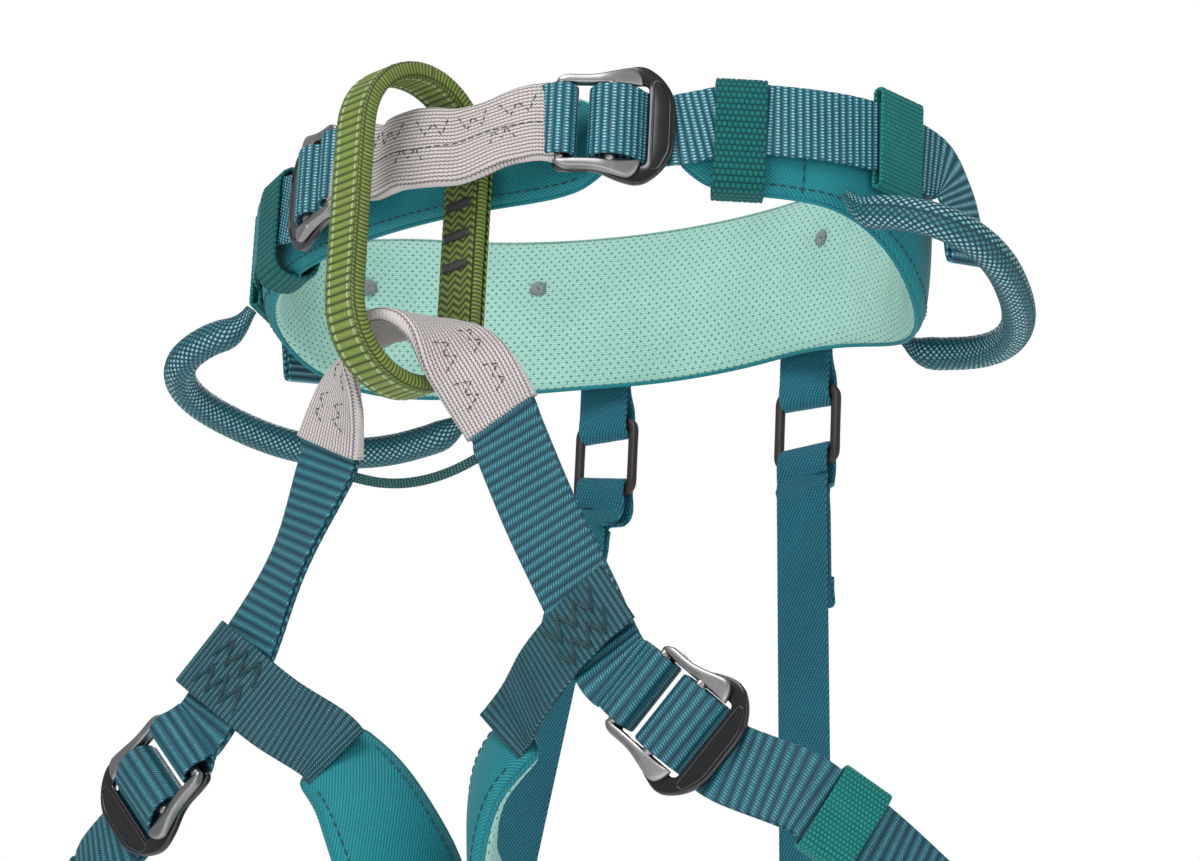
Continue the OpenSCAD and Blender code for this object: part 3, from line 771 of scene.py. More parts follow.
# A strap's way round a buckle's far bar, and round its near bar with both ends back: points (u, n) of the buckle
TURN = [(27, -3.7), (19, -3.9), (14, -3.0), (12.3, 0), (12.6, 3.5), (14.6, 6.6), (17.5, 7.9), (20.5, 7.8),
        (24.5, 6.2), (28, 3.2), (29.2, 1.0), (31.5, -0.9), (34, -1.4)]
FOLD = [(-6, 4.1), (-2.5, 5.6), (0.5, 7.6), (3, 7.9), (5.6, 7.2), (7, 5), (7.1, 1.5), (6.2, -1.2), (3.5, -2.0),
        (0, -1.2), (-3, 0.6), (-6, 2.1)]


def path_strip(points, across, w, facing, t=PLY):
    """A strip along points whose width stays near one direction. Its face starts towards `facing`."""
    p = smooth_line(points, 0.5*MM)
    d = unit(np.gradient(p, axis=0))
    a = unit(across - d*(d @ across)[:, None])
    strip = Strip(p, a, np.cross(d, a), w, t)
    return strip if strip.f[0] @ facing >= 0 else strip.turned()


def buckle_path(buckle, path, facing):
    """A strap's way round a bar, in the buckle's own axes."""
    return path_strip([buckle.at(u, 0, n) for u, n in path], buckle.v, WEB_W, facing)


def load_strap(kind, side, webbing, tail, weave, step, reach):
    """One strap: along the belt or leg loop, round the buckle's far bar, and back out as the hemmed tail."""
    b = Buckle(kind, side)
    load = webbing.where(b.uvn(webbing.p)[0] > 30).part(0, reach)
    turn = buckle_path(b, TURN, -b.n)
    run = chained(load.back().turned(), turn, tail.where(b.uvn(tail.p)[0] > 36))
    end, out, lift = run.p[-1], run.f[-1], 2.1*MM
    d = unit(end - run.p[-2])
    fold = ((0, 0), (1.6, 0.25), (1.7, 0.8), (0, 1), (-4, 1), (-9, 1))
    hem = path_strip([end + d*x*MM - out*lift*y for x, y in fold],
                     run.a[-1], WEB_W, out)
    return ribbon(f"{kind}_strap_{side}", chained(run, hem), weave, step), b


def bend(piece, start, end):
    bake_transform(piece)


def two_ply(middle):
    """Both plies of a doubled strap, from the line between them: the outer one, then the inner one."""
    return (middle.shifted(PLY*0.53).sized(t=PLY),
            middle.shifted(-PLY*0.53).sized(t=PLY).back().turned())


def make_tie_in():
    """The doubled tie-in strap from buckle to buckle. Returns its middle line."""
    p, a = [], []
    for x in np.linspace(-43*MM, 43*MM, 16):
        cut = plane_cut("tie_in_webbing", LEFT*x, LEFT)
        centre = (cut.max(0) + cut.min(0))/2
        rel = cut - centre
        across = np.linalg.svd(rel - rel.mean(0))[2][0]
        p.append(centre)
        a.append(across*(1 if across[2] >= 0 else -1))
    d = unit(np.gradient(np.array(p), axis=0))
    f = np.cross(d, np.array(a))
    f = f*np.where(f[:, 1] < 0, 1, -1)[:, None]
    middle = Strip(p, np.cross(f, d), f, WEB_W, 2*PLY).every(1*MM)
    outer, inner = two_ply(middle)
    left, right = (buckle_path(b, FOLD, b.n) for b in (Buckle("waist", side) for side in SIDES))
    whole = chained(outer, left, inner, right.back())
    piece = ribbon("tie_in_strap", whole, rib(WEB_RIB, 0.22), 0.6*MM, closed=True)
    place(piece, "webbing", "waist_belt", "tie_in_webbing")
    return middle


def knit(u, v):
    """Soft rows along a knit sleeve."""
    return 0.13*(1 - np.abs(np.sin(np.pi*v/1.3))) + 0.05*np.sin(u*1.9 + v)


def sleeve(name, middle, start, end):
    """A knit sleeve over a doubled strap: a puffed tube with a rolled hem at each end."""
    s = np.linspace(start, end, int((end - start)/(0.6*MM)))
    hem = np.exp(-((s - start)/(1.3*MM))**2) + np.exp(-((end - s)/(1.3*MM))**2)
    slack = 0.35*MM*np.sin(s/(5.1*MM)) + 0.2*MM*np.sin(s/(2.3*MM) + 1.0)
    wide = 27.2*MM + 0.6*MM*np.sin(s/(7*MM)) + 0.5*MM*hem
    base = middle.read(s).sized(w=wide, t=5.6*MM + slack + 0.6*MM*hem)
    return joined(name, [ribbon_part(base, knit, columns=24, corner=2.4*MM, crown=0.35*MM)]), base


def w_stitches(base, groups, low, high, run):
    """W-shaped lines of small stitches across a sleeve."""
    found = []
    for at in groups:
        k = np.linspace(0, 4, 57)
        s = at + run*(k/4 - 0.5)
        v = np.interp(k, range(5), [high, low, high*0.7 + low*0.3, low, high])
        found += dashes(base.on(s, v, TACK_LIFT + 0.3*MM), 1.7*MM, 1.0*MM)
    return found


def belay_line():
    """The belay loop's closed middle line, its thickness and width, and its centre with the directions across
    it, up and to one side."""
    p = vertices("belay_loop")
    c = (p.max(0) + p.min(0))/2
    across = np.linalg.svd(p - p.mean(0))[2][2]
    across = across*(1 if across[0] > 0 else -1)
    up = unit(UP - across*across[2])
    aside = np.cross(up, across)
    line, thick = [], []
    for q in np.linspace(0, 2*np.pi, 73)[:-1]:
        ray = up*np.cos(q) + aside*np.sin(q)
        r = (plane_cut("belay_loop", c, np.cross(across, ray)) - c) @ ray
        r = r[r > 0]
        line.append(c + ray*(r.max() + r.min())/2)
        thick.append(r.max() - r.min())
    return np.array(line), np.median(thick), np.ptp((p - c) @ across), c, up, aside


def belay_weave(u, v):
    """Ribs across, a chained edge and two raised thread lines."""
    edge = ease(np.abs(v) - 5.6)
    ribs = 0.42*(1 - np.abs(np.sin(np.pi*u/BELAY_RIB))**0.7)
    chain = 0.25*(1 - np.abs(np.sin(np.pi*(u/1.5 + np.abs(v)*0.6))))
    return ribs*(1 - edge) + chain*edge - 0.12*np.exp(-((np.abs(v) - 4.4)/0.35)**2)


def overlap_weave(u, v):
    return 0.45*np.abs((u/2.6 + np.abs((v/3.1 + 8) % 2 - 1)*0.9) % 1 - 0.5)*2


def make_belay_loop():
    """A closed ring of webbing. Its back is the sewn overlap, with bar tacks on both faces."""
    line, thick, width, c, up, aside = belay_line()
    line = np.concatenate([line, line[:1]])
    long = lengths(line)[-1]
    p = spread(line, np.linspace(0, long, int(round(long/(BELAY_RIB*MM)))*6 + 1)[:-1])
    for _ in range(12):
        p = (np.roll(p, 1, 0) + 2*p + np.roll(p, -1, 0))/4
    d = unit(np.roll(p, -1, 0) - np.roll(p, 1, 0))
    f = unit(np.cross(d, np.cross(unit(p - c), d)))
    ring = Strip(p, np.cross(f, d), f, width*0.985, thick*0.8)
    part = ribbon_part(ring, belay_weave, columns=26, corner=2.0*MM, closed=True)
    place(joined("belay_webbing", [part]), "belay", "belay_loop", "belay_loop")
    behind = (p - c) @ aside*(1 if aside[1] > 0 else -1)
    sewn = np.where((behind > 0.35*behind.max()) & (np.abs((p - c) @ up) < 0.62*np.ptp(p @ up)/2))[0]
    gap = np.where(np.diff(sewn) > 1)[0]
    if len(gap):
        sewn = np.roll(sewn, -(gap[0] + 1))
    over = ring.where(sewn).sized(width*0.97, 1.2*MM).shifted(thick*0.4 + 0.45*MM)
    inside = over.shifted(-thick*0.8 - 0.9*MM).turned()
    low_first = over.p[0][2] < over.p[-1][2]
    for strip, flap, tacks, shares in ((over, "belay_overlap", "belay_tacks", (0.30, 0.48, 0.66)),
                                       (inside, "belay_overlap_inside", "belay_tacks_inner", (0.42, 0.58, 0.74))):
        piece = ribbon(flap, strip, overlap_weave, columns=26, corner=0.5*MM)
        place(piece, "belay_overlap", "belay_loop")
        places = [over.s[-1]*(share if low_first else 1 - share) for share in shares]
        piece = cords(tacks, [bar_tack(strip, at, 11.5*MM, 3.0*MM) for at in places], 0.34*MM)
        place(piece, "dark_thread", "belay_loop", slot="belay")


# ---- buckles, hooks and keepers ----

def outline(corners, radius, count=144):
    """A closed outline through corners, each one rounded, as evenly spread points."""
    corners = np.array(corners, float)
    n = len(corners)
    radius = np.broadcast_to(radius, n)
    line = []
    for i in range(n):
        before, at, after = corners[i - 1], corners[i], corners[(i + 1) % n]
        r = min(radius[i], 0.48*np.linalg.norm(before - at), 0.48*np.linalg.norm(after - at))
        a, c = at + unit(before - at)*r, at + unit(after - at)*r
        for k in np.linspace(0, 1, 9):
            line.append((1 - k)**2*a + 2*k*(1 - k)*at + k**2*c)
    line = np.array(line + line[:1])
    return spread(line, np.linspace(0, lengths(line)[-1], count + 1)[:-1])


def box_outline(x, y, radius, count=144):
    return outline([(-x, -y), (x, -y), (x, y), (-x, y)], radius, count)


def around(line, centre, count=144):
    """An outline read at even angles round a centre, so that two outlines pair up."""
    rel = line - centre
    angle = np.arctan2(rel[:, 1], rel[:, 0])
    order = np.argsort(angle)
    even = np.linspace(-np.pi, np.pi, count + 1)[:-1]
    r = np.interp(even, angle[order], np.linalg.norm(rel, axis=1)[order], period=2*np.pi)
    return centre + np.stack([np.cos(even)*r, np.sin(even)*r], 1)


def plate_part(axes, outer, inner, high, bevel):
    """A flat plate between two outlines in a part's own axes, with rounded edges, as points and faces."""
    out = unit(outer - inner)
    cut = [(bevel*(1 - math.sin(q)), bevel*(1 - math.cos(q))) for q in np.linspace(0, np.pi/2, 4)]
    rings = [(outer - out*x, high - y) for x, y in cut]
    rings += [(outer - out*y, x) for x, y in cut]
    rings += [(inner + out*x, y) for x, y in cut]
    rings += [(inner + out*y, high - x) for x, y in cut]
    rings.append(((outer + inner)/2, high))
    points = np.stack([axes.at(*p.T, np.full(len(p), h)) for p, h in rings], 1)
    n, m = points.shape[:2]
    return points.reshape(-1, 3), skin(n, m, True), np.zeros((n*m, 2))


def arm_part(b, way, low, high, near):
    """One side arm of a buckle's frame, wider towards its rounded tail."""
    inside, reach, sides = 13.2, 29.0, 24
    u = np.linspace(near, reach, 60)
    x = (u - near)/(reach - near)
    out = np.interp(u, [near, 4, 9, 14, 19, 24, reach], [15.8, 16.6, 16.4, 16.6, 17.9, 19.4, 20.0])
    out = np.convolve(np.pad(out, 5, mode="edge"), np.ones(11)/11, "valid") - inside
    ends = (u - near)/4, (reach - u)/5
    nose, tail = (np.sqrt(np.clip(1 - (1 - np.minimum(1, run))**2, 0.02, 1)) for run in ends)
    wide = out*nose*np.where(u > reach - 5, tail, 1)
    middle = inside + wide*0.5 + out*(1 - nose)*0.25
    thinner = np.where(x > 0.55, 1 - 0.28*ease((x - 0.55)/0.45), 1)
    thick = (high - low)*np.clip(np.sqrt(nose*tail), 0.3, 1)*thinner
    lift = (high + low)/2 - 0.9*ease((x - 0.5)/0.5)
    q = np.linspace(0, 2*np.pi, sides + 1)[:-1]
    c, s = np.sign(np.cos(q))*np.abs(np.cos(q))**0.45, np.sign(np.sin(q))*np.abs(np.sin(q))**0.55
    rings = [b.at(np.full(sides, u[i]), way*(middle[i] + c*wide[i]/2), lift[i] + s*thick[i]/2)
             for i in range(len(u))]
    faces = skin(len(u), sides)
    if way < 0:
        faces = [f[::-1] for f in faces]
    return np.concatenate(rings), faces, np.zeros((len(u)*sides, 2))


def make_buckle(kind, side):
    """A base plate with a raised rim, and a frame of two arms and two bars that tilts on it."""
    b = Buckle(kind, side)
    narrow, wide, long = b.narrow/2, b.wide/2, b.long
    half = [(0.0, -narrow*0.97), (5.5, -narrow), (14, 0.6 - narrow), (22, 1.6 - wide), (29, -wide),
            (35.5, 4.5 - wide), (long, -wide*0.45)]
    corners = [3, 6, 8, 8, 7, 7, 9]
    edge = outline(half + [(u, -v) for u, v in half[::-1]], corners + corners[::-1])
    hole = outline([(4.6, -14.4), (31, -14.4), (31, 14.4), (4.6, 14.4)], 2.2)
    centre, fine = np.array([17.8, 0.0]), 216
    plate = plate_part(b, around(edge, centre, fine), around(hole, centre, fine), b.thick, 0.7)
    rim = outline([(32.6, -15.5), (35.0, -15.5), (38.2, -9), (38.2, 9), (35.0, 15.5), (32.6, 15.5)], 2.5, 120)
    rim = tube_part(b.at(*rim.T, np.full(120, b.thick - 0.05)), 0.42*MM, 8, closed=True)
    place(joined(f"{kind}_buckle_plate_{side}", [plate, rim]), "buckle_base",
          "waist_belt" if kind == "waist" else f"leg_loop_{side}", f"{kind}_buckle_base_{side}")
    cad = b.uvn(vertices(f"{kind}_buckle_frame_{side}"))
    parts = [arm_part(b, way, cad[2].min(), cad[2].max(), cad[0].min()) for way in (1, -1)]
    for u, r in ((2.5, 1.8), (19, 1.9)):
        bar = b.at(np.full(20, u), np.linspace(-15.2, 15.2, 20), np.full(20, 4.4))
        parts.append(tube_part(bar, r*MM, 20))
    name = f"{kind}_buckle_frame_{side}"
    place(joined(f"{kind}_buckle_frame_arms_{side}", parts), "buckle_frame", name, name)
    return b


def make_keeper(which, side, tail, flat, weave, material, body):
    """A sewn band round a strap: a rounded closed loop as wide as the CAD solid."""
    node = f"{which}_keeper_{side}"
    middle = np.mean(np.array(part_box(node)), 0)
    near = np.argmin(np.linalg.norm(tail.p - middle, axis=1))
    p = vertices(node)
    c = (p.max(0) + p.min(0))/2
    along = unit(np.gradient(tail.p, axis=0)[near]*flat)
    out = tail.f[near]*flat
    out = unit(out - along*(out @ along))
    up = np.cross(along, out)
    size = []
    for way in (along, out, up):
        rel = (p - c) @ way
        size.append(np.ptp(rel))
        c = c + way*(rel.max() + rel.min())/2
    deep, high = size[1]/2 - KEEPER_WALL/2, size[2]/2 - KEEPER_WALL/2
    loop = box_outline(deep/MM, high/MM, deep/MM*0.95, 240)*MM
    line = c + np.outer(loop[:, 0], out) + np.outer(loop[:, 1], up)
    d = unit(np.roll(line, -1, 0) - np.roll(line, 1, 0))
    a = np.tile(along, (len(line), 1))
    band = Strip(line, a, np.cross(d, a), size[0], KEEPER_WALL)
    if band.f[0] @ (line[0] - c) < 0:
        band = band.turned()
    part = ribbon_part(band, weave, columns=22, corner=KEEPER_WALL*0.4, closed=True)
    place(joined(f"{which}_keeper_band_{side}", [part]), material, body, node)


# ---- padded parts ----

def cushion_mesh(outer, inner, across):
    """A closed cushion between two strips: points, faces, weave map, the outer side's grid and its rim, how
    many faces the outer side has, and the outer strip at the grid's rows."""
    step, edge, slim, tip_run = 4*MM, 2.6, 1.1*MM, 8*MM
    rows = int(round(outer.s[-1]/step)) + 1
    o = outer.read(np.linspace(0, outer.s[-1], rows))
    i = inner.read(np.linspace(0, inner.s[-1], rows))
    v = np.sin(np.linspace(-1, 1, across)*np.pi/2*0.86)/np.sin(np.pi/2*0.86)
    span = (o.w + i.w)/4
    half = ((o.p - i.p)*o.f).sum(1)/2 + o.t/2 - slim
    tip = np.clip(np.minimum(o.s, o.s[-1] - o.s)/tip_run, 0, 1)
    body = ((1 - np.abs(v)**edge)**(1/edge))[None, :]*((1 - (1 - tip)**3)**(1/3))[:, None]
    base = ((o.p + i.p)/2)[:, None, :] + (v[None, :]*span[:, None])[..., None]*o.a[:, None, :]
    push = (half[:, None]*body)[..., None]*o.f[:, None, :]
    rim = np.zeros((rows, across), bool)
    rim[0] = rim[-1] = rim[:, 0] = rim[:, -1] = True
    top = np.arange(rows*across).reshape(rows, across)
    under = top.copy()
    under[~rim] = rows*across + np.arange((~rim).sum())
    points = np.concatenate([(base + push).reshape(-1, 3), (base - push)[~rim]])
    uv = np.stack([np.repeat(o.s, across), (v[None, :]*span[:, None]).ravel()], 1)
    uv = np.concatenate([uv, uv.reshape(rows, across, 2)[~rim]])
    faces = []
    for grid, order in ((top, -1), (under, 1)):
        quads = np.stack([grid[:-1, :-1], grid[:-1, 1:], grid[1:, 1:], grid[1:, :-1]], -1)
        faces += quads.reshape(-1, 4)[:, ::order].tolist()
    return points, faces, uv, top, rim, (rows - 1)*(across - 1), o


def blown(name, points, faces, uv, pinned):
    """The mesh after cloth has filled with air, with the pinned points held and the others moved a little."""
    pressure, cap, frames = 4.0, 2.2*MM, 20
    obj = new_object(name, points, faces, uv)
    group = obj.vertex_groups.new(name="pin")
    group.add([int(k) for k in pinned], 1.0, "REPLACE")
    cloth = obj.modifiers.new("cloth", "CLOTH")
    settings = cloth.settings
    settings.quality = 5
    settings.mass = 0.3
    settings.tension_stiffness = settings.compression_stiffness = 12
    settings.shear_stiffness = 6
    settings.bending_stiffness = 0.6
    settings.use_pressure = True
    settings.uniform_pressure_force = pressure
    settings.vertex_group_mass = "pin"
    settings.effector_weights.gravity = 0
    cloth.collision_settings.use_collision = False
    cloth.point_cache.frame_start = 1
    cloth.point_cache.frame_end = frames
    for frame_number in range(1, frames + 1):
        bpy.context.scene.frame_set(frame_number)
    seen = obj.evaluated_get(bpy.context.evaluated_depsgraph_get())
    shift = np.array([v.co for v in seen.data.vertices]) - points
    shift *= np.minimum(1, cap/np.maximum(np.linalg.norm(shift, axis=1, keepdims=True), 1e-9))
    obj.modifiers.clear()
    obj.vertex_groups.clear()
    bpy.context.scene.frame_set(1)
    obj.data.vertices.foreach_set("co", (points + shift).astype(np.float32).ravel())
    obj.data.update()
    return obj


def sheet(source, name, keep):
    """Part of a cushion's skin as its own closed piece of fabric, with its thickness towards the filling."""
    mesh = bmesh.new()
    mesh.from_mesh(source.data)
    mesh.faces.ensure_lookup_table()
    bmesh.ops.delete(mesh, geom=[f for f in mesh.faces if not keep[f.index]], context="FACES")
    data = bpy.data.meshes.new(name)
    mesh.to_mesh(data)
    mesh.free()
    obj = linked(bpy.data.objects.new(name, data))
    modifier = obj.modifiers.new("cloth_depth", "SOLIDIFY")
    modifier.thickness = SHEET
    modifier.offset = -1
    modifier.use_even_offset = False
    return apply_modifiers(obj)


def make_pad(name, body, nodes, start, across, seams, binding, low_binding, high_binding):
    """Shell, lining and bound edge of one pad, blown up as cloth and sewn down along its seams."""
    shell, lining, foam = nodes
    inner = strip_of(lining, start)
    points, faces, uv, grid, rim, split, o = cushion_mesh(strip_of(shell, start), inner, across)
    pinned = set(grid[rim].tolist())
    sewn = [int(round(s/o.s[-1]*(len(grid) - 1))) for s in seams(o)]
    for row in sewn:
        pinned |= set(grid[row].tolist())
        points[grid[row][1:-1]] -= o.f[row]*PINCH
    obj = blown(name + "_air", points, faces, uv, sorted(pinned))
    modifier = obj.modifiers.new("round", "SUBSURF")
    modifier.levels = modifier.render_levels = 1
    apply_modifiers(obj)
    co = np.array([v.co for v in obj.data.vertices])
    keep = np.arange(len(obj.data.polygons)) < split*4
    place(sheet(obj, f"{name}_shell", keep), "shell", body, shell, foam)
    place(sheet(obj, f"{name}_lining", ~keep), "lining", body, lining)
    half = grid.shape[1]//2
    rims = {"low": (low_binding, [grid[0, half:0:-1], grid[:, 0], grid[-1, 1:half + 1]]),
            "high": (high_binding, [grid[0, half:-1], grid[:, -1], grid[-1, -2:half - 1:-1]])}
    for label, (finish, parts) in rims.items():
        ring = co[np.concatenate(parts)]
        long = lengths(ring)[-1]
        line = spread(ring, np.linspace(0, long, int(long/(1.5*MM))))
        for _ in range(3):
            line[1:-1] = (line[:-2] + 2*line[1:-1] + line[2:])/4
        place(joined(f"{name}_binding_{label}", [tube_part(line, binding, 10)]), finish, body, slot="shell")
    stitches = []
    for column in (2, -3):
        line = co[grid[3:-3, column]] + o.f[3:-3]*0.12*MM
        stitches += dashes(smooth_line(line, 0.6*MM), 2.4*MM, 0.9*MM)
    for row in sewn:
        line = co[grid[row][1:-1]] + o.f[row]*0.25*MM
        stitches += dashes(smooth_line(line, 0.5*MM), 2.6*MM, 0.7*MM)
    place(cords(f"{name}_seams", stitches, 0.3*MM), "teal_thread", body, slot="shell")
    bpy.data.objects.remove(obj)
    return inner


def star_tack(name, centre, across, out):
    """A star of sewn spokes that ties the lining to the shell."""
    lines, spokes, radius = [], 22, 3.4*MM
    for k in range(spokes):
        q = 2*np.pi*k/spokes + rng.uniform(-0.08, 0.08)
        r = radius*rng.uniform(0.82, 1.05)
        s = np.linspace(0.08, 1, 6)[:, None]
        way = across*math.cos(q) + UP*math.sin(q)
        lines.append(centre + way*r*s + out*(np.sin(s*np.pi)*0.35*MM + 0.15*MM))
    place(cords(name, lines, 0.36*MM), "grey_thread", "waist_belt", slot="lining")


# ---- gear loops and risers ----

def make_gear_loop(side):
    """A braided tube along the core, with both ends drawn in and tucked into the pad."""
    line = layers(f"gear_loop_core_{side}", 14, FRONT).mean(1)
    tuck = UP*5*MM
    first, last = unit(line[0] - line[1])*8*MM, unit(line[-1] - line[-2])*11*MM
    line = np.concatenate([[line[0] + first + tuck, line[0] + first/2 + tuck/3], line,
                           [line[-1] + last/2 + tuck/3, line[-1] + last + tuck]])
    s = lengths(line)
    line = through(s, line, np.linspace(0, s[-1], int(s[-1]/(0.7*MM))))
    sides, radius, lay, drawn = 64, 5.75*MM, 9, 15*MM
    d = unit(np.gradient(line, axis=0))
    way = unit(np.cross(d[0], UP))
    angle = np.arange(sides)*2*np.pi/sides
    along = lengths(line)
    points, uv = [], []
    for i, s in enumerate(along):
        way = unit(way - d[i]*(way @ d[i]))
        twist = s/MM/lay*2*np.pi
        strand = np.maximum(np.abs(np.sin(8*angle + twist)), np.abs(np.sin(8*angle - twist)))
        r = radius*(0.965 + 0.035*strand)*(0.38 + 0.62*ease(min(s, along[-1] - s)/drawn))
        ring = np.outer(np.cos(angle), way) + np.outer(np.sin(angle), np.cross(d[i], way))
        points.append(line[i] + r[:, None]*ring)
        uv.append(np.stack([np.full(sides, s), angle*radius], 1))
    name = f"gear_loop_{side}"
    piece = new_object(name, np.concatenate(points), skin(len(line), sides), np.concatenate(uv))
    place(piece, "gear_sheath", name, f"gear_loop_sheath_{side}", f"gear_loop_core_{side}")


def make_riser(side, way):
    """A hook, the strap that ties it to the belt, and the elastic strap that runs down behind the leg pad."""
    body = f"riser_{side}"
    low, high = (np.array(x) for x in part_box(f"riser_hook_{side}"))
    c = (low + high)/2
    x, z = (high[0] - low[0])/2/MM, (high[2] - low[2])/2/MM
    axes = Axes(np.array([c[0], low[1], c[2]]), LEFT, UP, -FRONT)
    edge, hole = (around(line, np.zeros(2)) for line in (box_outline(x, z, 5.5, 160),
                                                         box_outline(x - 3.4, z - 4.2, 2.0, 160)))
    hook = plate_part(axes, edge, hole, (high[1] - low[1])/MM, 1.2)
    place(joined(f"hook_{side}", [hook]), "hook", body, f"riser_hook_{side}")
    bar_top, bar_low = high[2] - 2.1*MM, low[2] + 2.1*MM

    # the short strap, from inside the belt round the hook's upper bar and back
    belt = vertices("waist_shell")
    belt_low = belt[(np.abs(belt[:, 0] - way*42*MM) < 8*MM) & (belt[:, 1] > 0), 2].min()
    top_low, top_high = (np.array(x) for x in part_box(f"riser_top_{side}"))
    middle = (top_low + top_high)/2
    inside, outside = middle[1], c[1] + 2.7*MM
    guide = [(inside, belt_low + 12*MM), (inside, belt_low), (inside, bar_top + 3*MM),
             (inside - 0.2*MM, bar_top - 1*MM), (inside + 1.3*MM, bar_top - 4.4*MM), (c[1], bar_top - 5.2*MM),
             (outside - 0.9*MM, bar_top - 3.9*MM), (outside, bar_top), (outside - 0.5*MM, bar_top + 5*MM),
             (inside + 2.4*MM, bar_top + 12*MM), (inside + 1.9*MM, belt_low + 4*MM)]
    strap = path_strip([(middle[0], y, z) for y, z in guide], LEFT, top_high[0] - top_low[0], FRONT)
    piece = ribbon(f"riser_upper_{side}", strap, twill, 0.7*MM, columns=30)
    place(piece, "elastic", "waist_belt", f"riser_top_{side}")

    # the long strap, up from behind the leg pad, round the hook's lower bar and back to its sewn end
    cad = strip_of(f"riser_strap_{side}", UP, -FRONT)
    start, bottom = cad.p[0], cad.p[-1]
    d = unit(bottom - start)
    pad = [plane_cut(f"leg_shell_{side}", (bottom[0] + k*9*MM, 0, 0), LEFT) for k in (-1, 0, 1)]
    pad = np.concatenate(pad)
    pad = pad[pad[:, 1] > 40*MM]
    guide = [(bottom[0], pad[:, 1].max() + 2.2*MM, pad[:, 2].max() - drop*MM) for drop in (23, 16, 9, 1)]
    guide += [start + d*k for k in np.linspace(cad.s[-1], 20*MM, 12)]
    turn = ((-3.0, -8), (-3.4, -1), (-2.6, 3.2), (0, 5.0), (2.6, 3.4), (3.4, -1), (2.6, -9))
    guide += [(start[0], c[1] + y*MM, bar_low + z*MM) for y, z in turn]
    free = 64*MM
    guide += [start + d*k - FRONT*2.6*MM for k in np.linspace(22*MM, free, 5)]
    guide += [start + d*(free + k*MM) - FRONT*out*MM for k, out in ((2, 3.4), (1, 4.8), (-4, 4.6), (-9, 4.6))]
    across = unit(np.cross([0, 1.0, 0], unit(d*(1, 0, 1))))
    strap = path_strip(guide, across, 20*MM, FRONT)
    piece = ribbon(f"riser_lower_{side}", strap, twill, 0.8*MM, columns=30)
    place(piece, "elastic", body, f"riser_strap_{side}")
    tacks = [bar_tack(strap.turned(), at, 17*MM, 2.4*MM) for at in (4*MM, 15*MM)]
    place(cords(f"riser_tacks_{side}", tacks, 0.32*MM), "teal_thread", body, slot="elastic")


# ---- tie-in, belay loop and belt ----

wave = rib(WEB_RIB, 0.24)
leg_wave = rib(LEG_RIB, 0.3)

tie_middle = make_tie_in()
reach = np.array(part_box("tie_in_sleeve"))[:, 0]*0.995
span = np.interp(reach, tie_middle.p[:, 0], tie_middle.s)
piece, upper_sleeve = sleeve("upper_sleeve", tie_middle, *span)
place(piece, "sleeve", "waist_belt", "tie_in_sleeve")
length = upper_sleeve.s[-1]
stitches = w_stitches(upper_sleeve, np.linspace(0.12, 0.9, 6)*length, 3*MM, 9*MM, 11*MM)
stitches += w_stitches(upper_sleeve, np.linspace(0.2, 0.82, 3)*length, -1*MM, -6*MM, 9*MM)
along = np.linspace(0.03, 0.97, 60)*length
stitches += dashes(upper_sleeve.on(along, 0.6*MM*np.sin(along/(9*MM)) - 1.0*MM, 0.45*MM), 2.2*MM, 0.6*MM)
place(cords("upper_sleeve_stitches", stitches, 0.2*MM, 5), "dark_thread", "waist_belt", slot="sleeve")

lower_middle = strip_of("lower_tie_in_webbing", LEFT)
if lower_middle.f[len(lower_middle.p)//2][2] < 0:
    lower_middle = lower_middle.turned()
total, lap = lower_middle.s[-1], 13*MM
for label, ply in zip(("outer", "inner"), two_ply(lower_middle.part(lap, total - lap))):
    piece = ribbon(f"lower_tie_in_{label}", ply, leg_wave, 0.7*MM)
    place(piece, "leg_webbing", "waist_belt", *(["lower_tie_in_webbing"] if label == "outer" else []))
piece, lower_sleeve = sleeve("lower_sleeve", lower_middle, 1.5*MM, total - 1.5*MM)
place(piece, "sleeve", "waist_belt", "lower_tie_in_sleeve")
groups = np.array([0.12, 0.26, 0.74, 0.88])*lower_sleeve.s[-1]
stitches = w_stitches(lower_sleeve, groups, 2*MM, 8*MM, 10*MM)
stitches += w_stitches(lower_sleeve, groups, -8*MM, -3*MM, 10*MM)
place(cords("lower_sleeve_stitches", stitches, 0.2*MM, 5), "dark_thread", "waist_belt", slot="sleeve")

make_belay_loop()

belt_webbing = strip_of("waist_webbing", LEFT)
for side, way in SIDES.items():
    tail = strip_of(f"waist_tail_{side}", FRONT)
    webbing = belt_webbing if way > 0 else belt_webbing.back()
    piece, b = load_strap("waist", side, webbing, tail, wave, 0.5*MM, 120*MM)
    place(piece, "webbing", None, f"waist_tail_{side}", f"waist_webbing_turn_{side}",
          *(["waist_webbing"] if way > 0 else []))
    bend(piece, b.at(34, 0, 0), b.at(22, 0, 0))
    make_buckle("waist", side)
    level = np.array([1, 1, 0])
    make_keeper("front", side, tail, level, basket(2.1, 1.8, 0.42), "keeper", f"front_keeper_{side}")
    make_keeper("rear", side, tail, level, basket(1.5, 1.3, 0.26), "rear_keeper", "waist_belt")
hidden = belt_webbing.part(118*MM, belt_webbing.s[-1] - 118*MM, 2*MM)
place(ribbon("waist_webbing_inside", hidden, plain, 2*MM, columns=4), "webbing", "waist_belt")


def angle_round(p):
    """Angle round the belt of each point, in degrees, from the wearer's left, from -65 to 295."""
    half = np.abs(vertices("waist_shell")).max(0)
    q = np.degrees(np.arctan2(p[:, 1]/half[1], p[:, 0]/half[0]))
    return np.where(q < -65, q + 360, q)


def belt_seams(o):
    """Where the belt's panels meet: in front of each gear loop, and near the two tips."""
    return [o.s[np.argmin(np.abs(angle_round(o.p) - t))] for t in (-31, 58, 122, 211, 268)]


